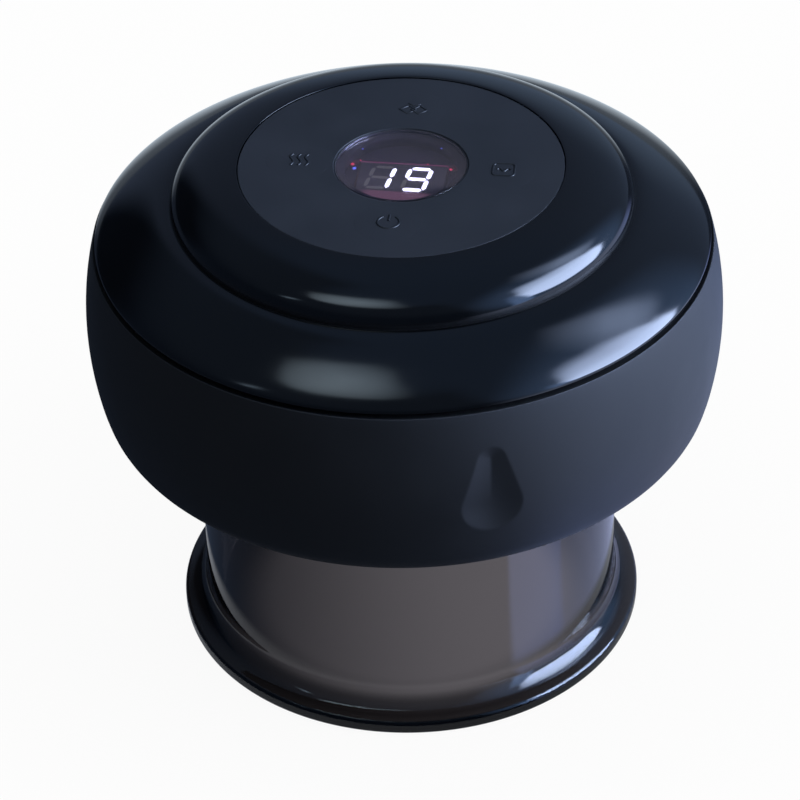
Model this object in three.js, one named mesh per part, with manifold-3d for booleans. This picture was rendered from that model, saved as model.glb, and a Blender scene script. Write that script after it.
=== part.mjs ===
// An electric cupping massager: a suction pump in a round housing, standing on a smoky cup.
// Millimetres, +Z up. The origin is under the middle of the cup's rim, and -Y is the front,
// the side of the power key. Angles round the axis are counted from +X towards +Y.
import * as THREE from "three";
import { mergeVertices } from "three/addons/utils/BufferGeometryUtils.js";
import Module from "manifold-3d";

const wasm = await Module();
wasm.setup();

// Clearances
const seatGap = 0.15;
const runGap = 0.3;
const overrun = 1;

// Cup: a straight smoky tube with a flared foot and a rolled lip
const cupHeight = 39;
const neckRadius = 30.3;
const cupWall = 2.2;
const rimRadius = 33.85;
const lipHeight = 2.1;
const lipRound = 0.7;
const footSlope = 1.1;
const footRound = 3.4;
const flareHeight = 6;
const flareWidth = 2.9;
const flareRound = 5;
const cupEdgeRound = 0.5;

// Housing: a barrel-shaped bowl whose mouth takes the cup's neck
const bodyRadius = 45;
const housingHeightShare = 0.688889;
const housingHeight = bodyRadius * housingHeightShare;
const barrelCurve = 48;
const beltShare = 0.596774;
const housingWall = 2.4;
const cupInsert = 6;
const mouthGap = 0.5;
const collarWall = 2;
const undersideRise = 5;
const cornerRound = 5;
const housingEdgeRound = 0.5;
const floorWall = 2;

// Drop-shaped dimples for thumb and finger
const dimpleRadiusShare = 0.1387;
const dimpleLengthShare = 0.4323;
const dimplePlaceShare = 0.5226;
const dimpleDepth = 1.5;
const dimpleSlopeShare = 0.5116;
const dimpleAngle = -68;
const dimples = 2;

// Top cover: a glossy cover with a rolled outer ring and a raised, gently domed plateau
const coverSetback = 0.6;
const coverHeight = 10.9;
const coverWall = 2;
const coverEdge = 0.4;
const ringHeight = 6.1;
const ringStartShare = 0.785;
const ringCurveShares = [0.22, 0.923, 0.247];
const shoulderEndShare = 0.7513;
const shoulderCurveShares = [0.073, 0.965, 0.752];
const creaseDepth = 0.35;
const skirtDepth = 3.5;
const skirtWall = 1.4;
const coverFloor = 1.25;

// Keypad overlay, lens and the opening under them
const overlayRadius = 22.4;
const overlayThickness = 1.2;
const overlayDrop = 0.2;
const lensRadius = 9.2;
const lensThickness = 0.95;
const windowRadius = 8.1;

// Keys: a plunger under the overlay presses a tact switch
const keyNames = ["mode", "suction", "heat", "power"];
const keyCircle = 14.2;
const keyTravel = 0.4;
const plungerRadius = 2.6;
const plungerFlange = 0.9;
const plungerFlangeThickness = 0.8;
const switchWidth = 4.5;
const switchHeight = 2.3;
const buttonRadius = 1.2;

// Control board and display
const boardSetback = 5.1;
const boardThickness = 1;
const boardDrop = 4.1;
const boardBossRadius = 2.3;
const boardScrewCount = 2;
const boardScrewInset = 4;
const displayWidth = 11.9;
const displayDepth = 8.9;
const displaySetback = 0.1;
const lampRadius = 0.6;
const lampForward = 3.2;

// Screws
const screwRadius = 0.9;
const screwHeadRadius = 1.6;
const screwHeadHeight = 1.1;
const screwGrip = 4;

// Suction plate: plugs into the cup and carries lamps, heater and filter
const plateThickness = 4.6;
const plateGap = 0.6;
const plateScrewCount = 3;
const plateScrewInset = 3.6;
const sealGrooveDepth = 1.1;
const sealGrooveWidth = 1.9;
const lampGrooveWall = 1.1;
const lampGrooveShare = 0.645933;
const lampGrooveDepth = 3.45;
const lightRingThickness = 1.2;
const lampBoardThickness = 0.8;
const lamps = 4;
const lampSize = 2.8;
const lampHeight = 0.9;
const heaterShare = 0.52;
const heaterWall = 1;
const heaterDepth = 1;
const filterWall = 0.8;
const filterThickness = 1.2;
const filterDepth = 2;
const nippleRadius = 2.4;
const nippleBore = 1.2;
const nippleReach = 8;

// Chassis: a round tray on three legs, over the housing's floor
const trayGap = 1.6;
const trayThickness = 1.5;
const legHeight = 2.05;
const legRadius = 3.2;
const postRadius = 1.6;

// Pump: motor, crank chamber, diaphragm and head in one line along X
const motorLengthShare = 0.614657;
const motorBoss = 2;
const motorBossWall = 2;
const shaftRadius = 1;
const shaftInsertShare = 0.615385;
const chamberLength = 13;
const chamberWall = 1.9;
const diaphragmThickness = 1.3;
const headLength = 7;
const crankRadius = 4.6;
const crankThickness = 4;
const crankOffset = 2;
const crankPinRadius = 0.8;
const crankPinGap = 1;
const wobbleGap = 0.7;
const wobbleThickness = 1.2;
const wobbleSocket = 3.5;
const wobbleSocketWall = 1.1;
const wobbleSocketDepth = 2.8;
const wobbleTilt = 4;
const nubRadius = 1.5;
const barrelRadius = 1.8;
const barrelBore = 0.9;
const barrelLength = 3.3;

// Strap over the motor
const strapWidth = 6;
const strapThickness = 1.2;
const strapFoot = 5.5;
const strapHeadroom = 0.4;
const strapPlaceShare = 0.5;

// Release valve
const valvePlace = -13.5;
const valveWidth = 10.4;
const valveCeiling = 1;
const valveSeatCover = 0.9;
const valveHeadroom = 0.85;
const valveBore = 3.1;
const plugRadius = 2.7;
const valveTravel = 1.5;
const springWire = 0.25;
const springRadius = 1.9;
const springTurns = 3;
const springSlack = 0.15;
const springSteps = 30;

// Tee and tubes
const teeSize = 5;
const airHeight = 6.9;
const sleeveWall = 0.95;
const sleeveFit = 0.25;
const tubeBend = 3.3;
const tubeSteps = 14;

// Cell and its cradle
const cellGap = 1.4;
const cellHeightShare = 0.810811;
const cellEndRoom = 5.8;
const lugThickness = 0.35;
const lugWidth = 6;
const cradleWall = 1.2;
const cradleHeight = 10;
const cradleWidth = 14;

// Charging board and socket at the back
const socketWidth = 8.9;
const socketHeight = 3.2;
const socketLength = 10;
const socketWall = 0.35;
const socketInset = 0.8;
const tongueThickness = 0.7;
const tongueLength = 6;
const chargeBoardWidth = 13;
const chargeBoardLength = 10.6;
const chargeBoardHeight = 5.1;

// Facets
const roundSides = 36;
const smallSides = 16;
const tinySides = 10;
const sealSides = 8;
const arcSteps = 3;
const curveSteps = 4;

// Heights worked out from the sizes
const mouthZ = cupHeight - cupInsert;
const seamZ = mouthZ + housingHeight;
const beltZ = mouthZ + housingHeight * beltShare;
const cornerZ = mouthZ + undersideRise;
const floorZ = cupHeight + runGap;
const floorTop = floorZ + floorWall;
const coverZ = seamZ + runGap;
const panelZ = seamZ + coverHeight;
const plateauZ = panelZ + overlayDrop;
const ringZ = seamZ + ringHeight;
const overlayZ = panelZ - overlayThickness;
const recessZ = overlayZ - seatGap;
const coverFloorZ = recessZ - coverFloor;
const boardTop = coverFloorZ - boardDrop;
const boardZ = boardTop - boardThickness;
const plateTop = floorZ - seatGap;
const plateZ = plateTop - plateThickness;
const legZ = floorTop + seatGap;
const trayZ = legZ + legHeight;
const trayTop = trayZ + trayThickness;
const airZ = trayTop + airHeight;

// The barrel's radius at a height
const barrel = (z) =>
  bodyRadius - barrelCurve + Math.sqrt(barrelCurve ** 2 - (z - beltZ) ** 2);

// Radii worked out from the sizes
const cupInner = neckRadius - cupWall;
const mouthRadius = neckRadius + mouthGap;
const collarRadius = mouthRadius + collarWall;
const plateRadius = cupInner - plateGap;
const plateScrewCircle = plateRadius - plateScrewInset;
const lampGrooveOuter = plateScrewCircle - screwHeadRadius - runGap - lampGrooveWall;
const lampGrooveInner = lampGrooveOuter * lampGrooveShare;
const heaterOuter = lampGrooveInner - heaterWall;
const heaterInner = heaterOuter * heaterShare;
const filterRadius = heaterInner - filterWall;
const recessRadius = overlayRadius + runGap;
const coverRadius = barrel(seamZ) - coverSetback;
const ringStart = coverRadius * ringStartShare;
const shoulderStart = recessRadius + seatGap;
const shoulderEnd = coverRadius * shoulderEndShare;
const boardRadius = shoulderEnd - coverWall - boardSetback;
const boardScrewCircle = boardRadius - boardScrewInset;
const innerCorner = barrel(cornerZ) - housingWall;
const trayRadius = innerCorner - trayGap;
const roomRadius = bodyRadius - housingWall - runGap;

// Pump, valve and cell fill the height between the tray and the control board, and the cell
// and the motor the width of the room within the housing's wall
const motorRadius = (boardZ - trayTop - strapThickness - 2 * runGap - strapHeadroom) / 2;
const motorLength = roomRadius * motorLengthShare;
const pumpStart = -motorLength;
const pumpSide = -valveWidth / 2 - strapThickness - 2 * runGap - motorRadius;
const pumpZ = trayTop + runGap + motorRadius;
const strapPlace = pumpStart * strapPlaceShare;
const chamberBore = motorRadius - chamberWall;
const wobbleRadius = chamberBore - wobbleGap;
const chargeBoardZ = trayTop + chargeBoardHeight;
const chargeBoardFront = Math.sqrt(roomRadius ** 2 - (chargeBoardWidth / 2) ** 2) - runGap;
const chargeBoardBack = chargeBoardFront - chargeBoardLength;
const cellRadius = ((boardZ - trayTop) / 2) * cellHeightShare;
const cellSide = chargeBoardBack - cellGap - cellRadius;
const cellRoom = Math.sqrt(roomRadius ** 2 - (cellSide + cellRadius) ** 2);
const cellLength = 2 * (cellRoom - cellEndRoom);
const cellZ = trayTop + runGap + cellRadius;

const model = new THREE.Group();
model.name = "cupping_massager";

// Materials
const finish = (color, roughness, metalness = 0, more = {}) =>
  new THREE.MeshStandardMaterial({ color, roughness, metalness, ...more });
const glossBlack = finish(0x07090e, 0.12);
const mattBlack = finish(0x12151c, 0.55);
const mattSlate = finish(0x202833, 0.6);
const lensBlack = finish(0x0a0810, 0.08);
const smoky = finish(0x4c4648, 0.08, 0, { transparent: true, opacity: 0.6 });
const whitePlastic = finish(0xd8d8d4, 0.5);
const greyPlastic = finish(0x4b4f55, 0.6);
const boardGreen = finish(0x14513a, 0.5);
const steel = finish(0xb9bcc0, 0.35, 0.9);
const brass = finish(0xc9a25a, 0.35, 0.9);
const blackRubber = finish(0x16161a, 0.85);
const clearSilicone = finish(0xd9dde0, 0.4);
const cellWrap = finish(0x2c5f9e, 0.4);
const lampRed = finish(0xe8512c, 0.3);
const frosted = finish(0xe6d9d2, 0.45);

// Shapes
const point = (x, y) => new THREE.Vector2(x, y);

// Adds one named piece to the model.
function piece(name, geometry, material, parent = model) {
  const mesh = new THREE.Mesh(geometry, material);
  mesh.name = name;
  parent.add(mesh);
  return mesh;
}

// An outline of [x, y, round] corners, each rounded by an arc that touches both its sides.
function rounded(corners) {
  const points = [];
  corners.forEach(([x, y, round = 0], i) => {
    const here = point(x, y);
    if (round === 0) {
      points.push(here);
      return;
    }
    const before = point(...corners.at(i - 1)).sub(here);
    const after = point(...corners[(i + 1) % corners.length]).sub(here);
    const half = Math.abs(Math.atan2(before.cross(after), before.dot(after))) / 2;
    const middle = before.clone().normalize().add(after.clone().normalize()).normalize();
    const centre = here.clone().addScaledVector(middle, round / Math.sin(half));
    const reach = round / Math.tan(half);
    const start = here.clone().addScaledVector(before.normalize(), reach).sub(centre);
    const end = here.clone().addScaledVector(after.normalize(), reach).sub(centre);
    const turn = Math.atan2(start.cross(end), start.dot(end));
    for (let step = 0; step <= arcSteps; step++) {
      points.push(start.clone().rotateAround(point(0, 0), (turn * step) / arcSteps).add(centre));
    }
  });
  return points;
}

// A solid turned round the Z axis from an outline of points (radius, height). A ring's outline
// closes on itself, and any other starts and ends on the axis.
function turned(points, sides = roundSides) {
  const outline = points.map((p) => p.clone());
  const onAxis = outline[0].x === 0 && outline.at(-1).x === 0;
  if (THREE.ShapeUtils.area(outline) < 0) outline.reverse();
  if (!onAxis) outline.push(outline[0].clone());
  return new THREE.LatheGeometry(outline, sides).rotateX(Math.PI / 2);
}

// A round bar along Z, from one height to another.
function bar(radius, low, high, sides = smallSides) {
  return new THREE.CylinderGeometry(radius, radius, high - low, sides)
    .rotateX(Math.PI / 2)
    .translate(0, 0, (low + high) / 2);
}

// A round tube along Z.
function tube(radius, bore, low, high, sides = smallSides) {
  return turned([point(bore, low), point(radius, low), point(radius, high), point(bore, high)], sides);
}

// A box between two corners.
function block([x0, y0, z0], [x1, y1, z1]) {
  return new THREE.BoxGeometry(x1 - x0, y1 - y0, z1 - z0)
    .translate((x0 + x1) / 2, (y0 + y1) / 2, (z0 + z1) / 2);
}

// A flat plate along Z with an outline and holes.
function plate(outline, holes, low, high) {
  const shape = new THREE.Shape(outline);
  holes.forEach((hole) => shape.holes.push(new THREE.Path(hole)));
  return new THREE.ExtrudeGeometry(shape, { depth: high - low, bevelEnabled: false })
    .translate(0, 0, low);
}

// The points of a circle, and of a rectangle round its middle.
function circle(radius, x = 0, y = 0, sides = tinySides) {
  return Array.from({ length: sides }, (_, i) => {
    const angle = (2 * Math.PI * i) / sides;
    return point(x + radius * Math.cos(angle), y + radius * Math.sin(angle));
  });
}
const rectangle = (width, depth) => [
  point(-width / 2, -depth / 2),
  point(width / 2, -depth / 2),
  point(width / 2, depth / 2),
  point(-width / 2, depth / 2),
];

// An upright bar or tool turned to lie along X, with its start at x = 0.
const alongX = (geometry) => geometry.rotateY(Math.PI / 2);
const at = (geometry, x, y, z) => geometry.translate(x, y, z);

// Joining and cutting of closed geometries.
function toSolid(geometry) {
  const bare = geometry.index ? geometry.toNonIndexed() : geometry.clone();
  bare.deleteAttribute("normal");
  bare.deleteAttribute("uv");
  const merged = mergeVertices(bare, 1e-4);
  return new wasm.Manifold(
    new wasm.Mesh({
      numProp: 3,
      vertProperties: new Float32Array(merged.getAttribute("position").array),
      triVerts: new Uint32Array(merged.index.array),
    }),
  );
}
function toGeometry(solid) {
  const mesh = solid.getMesh();
  return new THREE.BufferGeometry()
    .setAttribute("position", new THREE.BufferAttribute(mesh.vertProperties, 3))
    .setIndex(new THREE.BufferAttribute(mesh.triVerts, 1));
}
const join = (first, ...more) =>
  toGeometry(more.reduce((solid, next) => solid.add(toSolid(next)), toSolid(first)));
const cut = (first, ...more) =>
  toGeometry(more.reduce((solid, next) => solid.subtract(toSolid(next)), toSolid(first)));

// Places round the axis: [x, y] of a number of equal steps on a circle.
const around = (count, radius, start = 0) =>
  Array.from({ length: count }, (_, i) => {
    const angle = start + (2 * Math.PI * i) / count;
    return [radius * Math.cos(angle), radius * Math.sin(angle)];
  });

// Cup
function addCup() {
  const outline = rounded([
    [cupInner + flareWidth, 0, lipRound / 2],
    [rimRadius, 0, lipRound],
    [rimRadius, lipHeight, lipRound],
    [neckRadius, lipHeight + footSlope, footRound],
    [neckRadius, cupHeight, cupEdgeRound],
    [cupInner, cupHeight, cupEdgeRound],
    [cupInner, flareHeight, flareRound],
  ]);
  piece("cup", turned(outline), smoky);
}

// Housing
const plateScrews = around(plateScrewCount, plateScrewCircle, Math.PI / 2);
const portHole = nippleRadius + runGap;
const screwHole = screwRadius + runGap;

function dimpleCutter() {
  const dimpleRadius = housingHeight * dimpleRadiusShare;
  const dimpleSlope = dimpleRadius * dimpleSlopeShare;
  const tip = housingHeight * dimpleLengthShare - dimpleRadius;
  const side = Math.asin(dimpleRadius / tip);
  const outline = [point(0, tip)];
  for (let step = 0; step <= 2 * curveSteps; step++) {
    const angle = Math.PI - side + ((Math.PI + 2 * side) * step) / (2 * curveSteps);
    outline.push(point(dimpleRadius * Math.cos(angle), dimpleRadius * Math.sin(angle)));
  }
  return new THREE.ExtrudeGeometry(new THREE.Shape(outline), {
    depth: dimpleDepth + 2 * dimpleSlope,
    bevelThickness: dimpleDepth,
    bevelSize: dimpleSlope,
    bevelOffset: -dimpleSlope,
    bevelSegments: 3,
  })
    .rotateX(Math.PI / 2)
    .rotateZ(Math.PI / 2);
}

const socketY = bodyRadius - socketInset;
const socketZ = trayTop + chargeBoardHeight + boardThickness + seatGap + socketHeight / 2;

// The rounded outline of the charging socket, grown by a margin.
function socketOutline(grow) {
  const width = socketWidth / 2 + grow;
  const height = socketHeight / 2 + grow;
  const round = height - seatGap;
  return rounded([
    [-width, -height, round],
    [width, -height, round],
    [width, height, round],
    [-width, height, round],
  ]);
}

function addHousing() {
  const edge = barrel(seamZ);
  const underside = Math.atan2(undersideRise, barrel(cornerZ) - collarRadius);
  const under = housingWall / Math.cos(underside);
  const innerCornerZ = mouthZ + under + (innerCorner - collarRadius) * Math.tan(underside);
  const walls = (from, to, inset) =>
    Array.from({ length: curveSteps }, (_, i) => {
      const z = from + ((to - from) * (i + 1)) / (curveSteps + 1);
      return [barrel(z) - inset, z];
    });
  const outline = rounded([
    [portHole, floorZ],
    [mouthRadius, floorZ],
    [mouthRadius, mouthZ],
    [collarRadius, mouthZ, housingEdgeRound],
    [barrel(cornerZ), cornerZ, cornerRound],
    ...walls(cornerZ + cornerRound, seamZ - housingEdgeRound, 0),
    [edge, seamZ, housingEdgeRound],
    [edge - housingWall, seamZ],
    ...walls(seamZ, innerCornerZ, housingWall),
    [innerCorner, innerCornerZ],
    [collarRadius, mouthZ + under],
    [collarRadius, floorTop],
    [portHole, floorTop],
  ]);
  const dimple = around(dimples, bodyRadius - seatGap, (dimpleAngle * Math.PI) / 180);
  const dimpleZ = mouthZ + housingHeight * dimplePlaceShare;
  const cutters = dimple.map(([x, y]) =>
    at(dimpleCutter().rotateZ(Math.atan2(y, x)), x, y, dimpleZ),
  );
  plateScrews.forEach(([x, y]) =>
    cutters.push(at(bar(screwHole, floorZ - overrun, floorTop + overrun, tinySides), x, y, 0)),
  );
  const leads = (lampGrooveInner + lampGrooveOuter) / 2;
  cutters.push(at(bar(lampSize / 2, floorZ - overrun, floorTop + overrun, tinySides), leads, 0, 0));
  const opening = plate(socketOutline(runGap), [], 0, socketLength);
  cutters.push(at(opening.rotateX(-Math.PI / 2), 0, socketY - socketLength / 2, socketZ));
  piece("housing", cut(turned(outline), ...cutters), mattBlack);
}

// Top cover
const boardScrews = around(boardScrewCount, boardScrewCircle, -Math.PI / 6);
const keyPlaces = around(keyNames.length, keyCircle);

function addTopCover() {
  const skirt = barrel(seamZ) - housingWall - runGap;
  const curve = (start, end, [first, second, fall]) =>
    new THREE.CubicBezierCurve(
      start,
      point(start.x + (end.x - start.x) * first, start.y),
      point(start.x + (end.x - start.x) * second, end.y + (start.y - end.y) * fall),
      end,
    )
      .getPoints(curveSteps)
      .map((p) => [p.x, p.y]);
  const shoulderEndZ = ringZ + creaseDepth;
  const outer = [
    ...curve(point(shoulderStart, plateauZ), point(shoulderEnd, shoulderEndZ), shoulderCurveShares),
    [(shoulderEnd + ringStart) / 2, ringZ - creaseDepth],
    ...curve(point(ringStart, ringZ), point(coverRadius, coverZ + coverEdge), ringCurveShares),
  ];
  const inner = [
    ...curve(
      point(shoulderStart, coverFloorZ),
      point(shoulderEnd - coverWall, shoulderEndZ - coverWall),
      shoulderCurveShares,
    ),
    ...curve(
      point(ringStart - coverWall, ringZ - coverWall),
      point(skirt - skirtWall, coverZ + coverEdge),
      ringCurveShares,
    ),
  ];
  const outline = rounded([
    [windowRadius, recessZ],
    [recessRadius, recessZ],
    [recessRadius, plateauZ],
    ...outer,
    [coverRadius - coverEdge, coverZ],
    [skirt, coverZ],
    [barrel(coverZ - skirtDepth) - housingWall - runGap, coverZ - skirtDepth],
    [skirt - skirtWall, coverZ - skirtDepth],
    ...inner.reverse(),
    [windowRadius, coverFloorZ],
  ]);
  const bossTop = coverFloorZ + coverFloor / 2;
  const bosses = boardScrews.map(([x, y]) =>
    at(tube(boardBossRadius, screwHole - seatGap, boardTop + seatGap, bossTop), x, y, 0),
  );
  const holes = keyPlaces.map(([x, y]) =>
    at(bar(plungerRadius + runGap, coverFloorZ - overrun, recessZ + overrun), x, y, 0),
  );
  piece("top_cover", cut(join(turned(outline), ...bosses), ...holes), glossBlack);
}

// Keypad overlay, display lens, display and its two indicator lamps
function addPanel() {
  const film = tube(overlayRadius, lensRadius + seatGap, overlayZ, panelZ, roundSides);
  piece("keypad_overlay", film, mattSlate);
  const lens = bar(lensRadius, overlayZ, overlayZ + lensThickness, roundSides);
  piece("display_lens", lens, lensBlack);
  const face = coverFloorZ - displaySetback;
  const body = block(
    [-displayWidth / 2, -displayDepth / 2, boardTop + seatGap],
    [displayWidth / 2, displayDepth / 2, face],
  );
  piece("display_module", body, whitePlastic);
  const side = displayWidth / 2 + seatGap + lampRadius;
  [-side, side].forEach((x, i) => {
    const lamp = bar(lampRadius, boardTop + seatGap, face, tinySides);
    piece(["indicator_lamp_left", "indicator_lamp_right"][i], at(lamp, x, lampForward, 0), lampRed);
  });
}

// Keys: plunger, switch body and switch button
function addKeys() {
  const flangeTop = coverFloorZ - seatGap;
  const flangeZ = flangeTop - plungerFlangeThickness;
  const buttonTop = flangeZ - seatGap;
  const bodyZ = boardTop + seatGap;
  keyPlaces.forEach(([x, y], i) => {
    const name = keyNames[i];
    const plunger = turned(
      [
        point(0, flangeZ),
        point(plungerRadius + plungerFlange, flangeZ),
        point(plungerRadius + plungerFlange, flangeTop),
        point(plungerRadius, flangeTop),
        point(plungerRadius, recessZ),
        point(0, recessZ),
      ],
      smallSides,
    );
    piece("key_" + name, at(plunger, x, y, 0), greyPlastic);
    const body = plate(
      rectangle(switchWidth, switchWidth),
      [circle(buttonRadius + runGap, 0, 0, smallSides)],
      bodyZ,
      bodyZ + switchHeight,
    );
    piece("switch_" + name, at(body, x, y, 0), steel);
    const button = bar(buttonRadius, bodyZ + keyTravel + seatGap, buttonTop);
    piece("switch_button_" + name, at(button, x, y, 0), blackRubber);
  });
}

// A screw with its head at the low end and its tip up.
function screw(headZ, length) {
  return turned(
    [
      point(0, headZ),
      point(screwHeadRadius, headZ),
      point(screwHeadRadius, headZ + screwHeadHeight),
      point(screwRadius, headZ + screwHeadHeight),
      point(screwRadius, headZ + screwHeadHeight + length),
      point(0, headZ + screwHeadHeight + length),
    ],
    tinySides,
  );
}

// Control board with the screws that hold it to the cover
function addControlBoard() {
  const holes = boardScrews.map(([x, y]) => circle(screwHole, x, y));
  const board = plate(circle(boardRadius, 0, 0, roundSides), holes, boardZ, boardTop);
  piece("control_board", board, boardGreen);
  boardScrews.forEach(([x, y], i) => {
    const made = screw(boardZ - seatGap - screwHeadHeight, boardThickness + screwGrip / 2);
    piece("board_screw_" + (i + 1), at(made, x, y, 0), steel);
  });
}

// Suction plate with filter, heater, lamps, light ring, seal and screws
function addSuctionPlate() {
  const grooveZ = (plateZ + plateTop - sealGrooveWidth) / 2;
  const groove = plateRadius - sealGrooveDepth;
  const outline = [
    point(nippleBore, plateZ + filterDepth),
    point(filterRadius, plateZ + filterDepth),
    point(filterRadius, plateZ),
    point(heaterInner, plateZ),
    point(heaterInner, plateZ + heaterDepth),
    point(heaterOuter, plateZ + heaterDepth),
    point(heaterOuter, plateZ),
    point(lampGrooveInner, plateZ),
    point(lampGrooveInner, plateZ + lampGrooveDepth),
    point(lampGrooveOuter, plateZ + lampGrooveDepth),
    point(lampGrooveOuter, plateZ),
    point(plateRadius, plateZ),
    point(plateRadius, grooveZ),
    point(groove, grooveZ),
    point(groove, grooveZ + sealGrooveWidth),
    point(plateRadius, grooveZ + sealGrooveWidth),
    point(plateRadius, plateTop),
    point(nippleRadius, plateTop),
    point(nippleRadius, plateTop + nippleReach),
    point(nippleBore, plateTop + nippleReach),
  ];
  const headRoom = screwHeadHeight + 2 * runGap;
  const cutters = plateScrews.flatMap(([x, y]) => [
    at(bar(screwHole, plateZ - overrun, plateTop + overrun, tinySides), x, y, 0),
    at(bar(screwHeadRadius + runGap, plateZ - overrun, plateZ + headRoom), x, y, 0),
  ]);
  const leads = (lampGrooveInner + lampGrooveOuter) / 2;
  const leadHole = bar(lampSize / 2, plateZ + lampGrooveDepth - seatGap, plateTop + overrun, tinySides);
  cutters.push(at(leadHole, leads, 0, 0));
  piece("suction_plate", cut(turned(outline), ...cutters), mattBlack);

  const cord = (cupInner - groove - 2 * seatGap) / 2;
  const ring = circle(cord, groove + seatGap + cord, grooveZ + sealGrooveWidth / 2, sealSides);
  piece("cup_seal", turned(ring), blackRubber);

  const filter = bar(filterRadius - runGap, plateZ + seatGap, plateZ + filterThickness);
  piece("port_filter", filter, steel);
  const heaterTop = plateZ + heaterDepth - seatGap;
  const heater = tube(heaterOuter - runGap, heaterInner + runGap, plateZ, heaterTop, roundSides);
  piece("heater_plate", heater, steel);
  const inner = lampGrooveInner + runGap;
  const outer = lampGrooveOuter - runGap;
  const window = tube(outer, inner, plateZ, plateZ + lightRingThickness, roundSides);
  piece("light_ring", window, frosted);
  const boardTopZ = plateZ + lampGrooveDepth - seatGap;
  const board = tube(outer, inner, boardTopZ - lampBoardThickness, boardTopZ, roundSides);
  piece("lamp_board", board, whitePlastic);
  const lampTop = boardTopZ - lampBoardThickness - seatGap;
  const half = lampSize / 2;
  around(lamps, (inner + outer) / 2, Math.PI / lamps).forEach(([x, y], i) => {
    const lamp = block([-half, -half, lampTop - lampHeight], [half, half, lampTop]);
    piece("red_lamp_" + (i + 1), at(lamp.rotateZ(Math.atan2(y, x)), x, y, 0), lampRed);
  });
  plateScrews.forEach(([x, y], i) => {
    const headZ = plateZ + headRoom - seatGap - screwHeadHeight;
    const length = trayZ - headZ - screwHeadHeight;
    piece("plate_screw_" + (i + 1), at(screw(headZ, length), x, y, 0), steel);
  });
}

// Chassis: tray, legs, rails under the motor and the cell, cradle ends and board posts
const strapInner = motorRadius + runGap;
const strapOuter = strapInner + strapThickness;
const strapLegY = pumpSide + (strapInner + strapOuter) / 2;
const strapScrewY = pumpSide - strapOuter - strapFoot / 2;
const cradleEnd = cellLength / 2 + lugThickness + 2 * seatGap;

function addChassis() {
  const slot = rectangle(strapWidth + 2 * runGap, strapThickness + 2 * runGap).map((corner) =>
    corner.add(point(strapPlace, strapLegY)),
  );
  const portWay = circle(portHole + sleeveWall + sleeveFit, 0, 0, smallSides);
  const strapScrewHole = circle(screwHole, strapPlace, strapScrewY);
  const disc = circle(trayRadius, 0, 0, roundSides);
  const tray = plate(disc, [portWay, strapScrewHole, slot], trayZ, trayTop);
  const adds = plateScrews.map(([x, y]) => at(bar(legRadius, legZ, trayTop), x, y, 0));
  const rails = (radius, y, z, x0, x1) =>
    [-radius / 2, radius / 2].forEach((offset) => {
      const drop = Math.sqrt(radius ** 2 - (radius / 2 - cradleWall / 2) ** 2);
      const low = [x0, y + offset - cradleWall / 2, trayZ];
      adds.push(block(low, [x1, y + offset + cradleWall / 2, z - drop - runGap]));
    });
  rails(motorRadius, pumpSide, pumpZ, pumpStart + overrun, pumpStart + motorLength - overrun);
  rails(cellRadius, cellSide, cellZ, -cellLength / 2, cellLength / 2);
  [-cradleEnd - cradleWall, cradleEnd].forEach((x) => {
    const low = [x, cellSide - cradleWidth / 2, trayZ];
    adds.push(block(low, [x + cradleWall, cellSide + cradleWidth / 2, trayTop + cradleHeight]));
  });
  const postX = chargeBoardWidth / 2 - postRadius;
  [-postX, postX].forEach((x) => {
    const post = bar(postRadius, trayZ, chargeBoardZ - seatGap, tinySides);
    adds.push(at(post, x, chargeBoardBack + postRadius, 0));
  });
  const holes = plateScrews.map(([x, y]) =>
    at(bar(screwRadius + seatGap, legZ - overrun, trayTop + overrun, tinySides), x, y, 0),
  );
  piece("chassis", cut(join(tray, ...adds), ...holes), greyPlastic);
}

// Pump, built along Z and laid along X: its places are counted from the motor's back
const shaftInsert = motorLength * shaftInsertShare;
const crankZ = motorLength + motorBoss + runGap;
const chamberStart = motorLength + seatGap;
const diaphragmStart = chamberStart + chamberLength + seatGap;
const headStart = diaphragmStart + diaphragmThickness + seatGap;
const headEnd = headStart + headLength;
const tiltRoom = wobbleRadius * Math.sin((wobbleTilt * Math.PI) / 180) + runGap;
const wobbleTop = diaphragmStart - tiltRoom;
const wobbleZ = wobbleTop - wobbleThickness;

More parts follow.
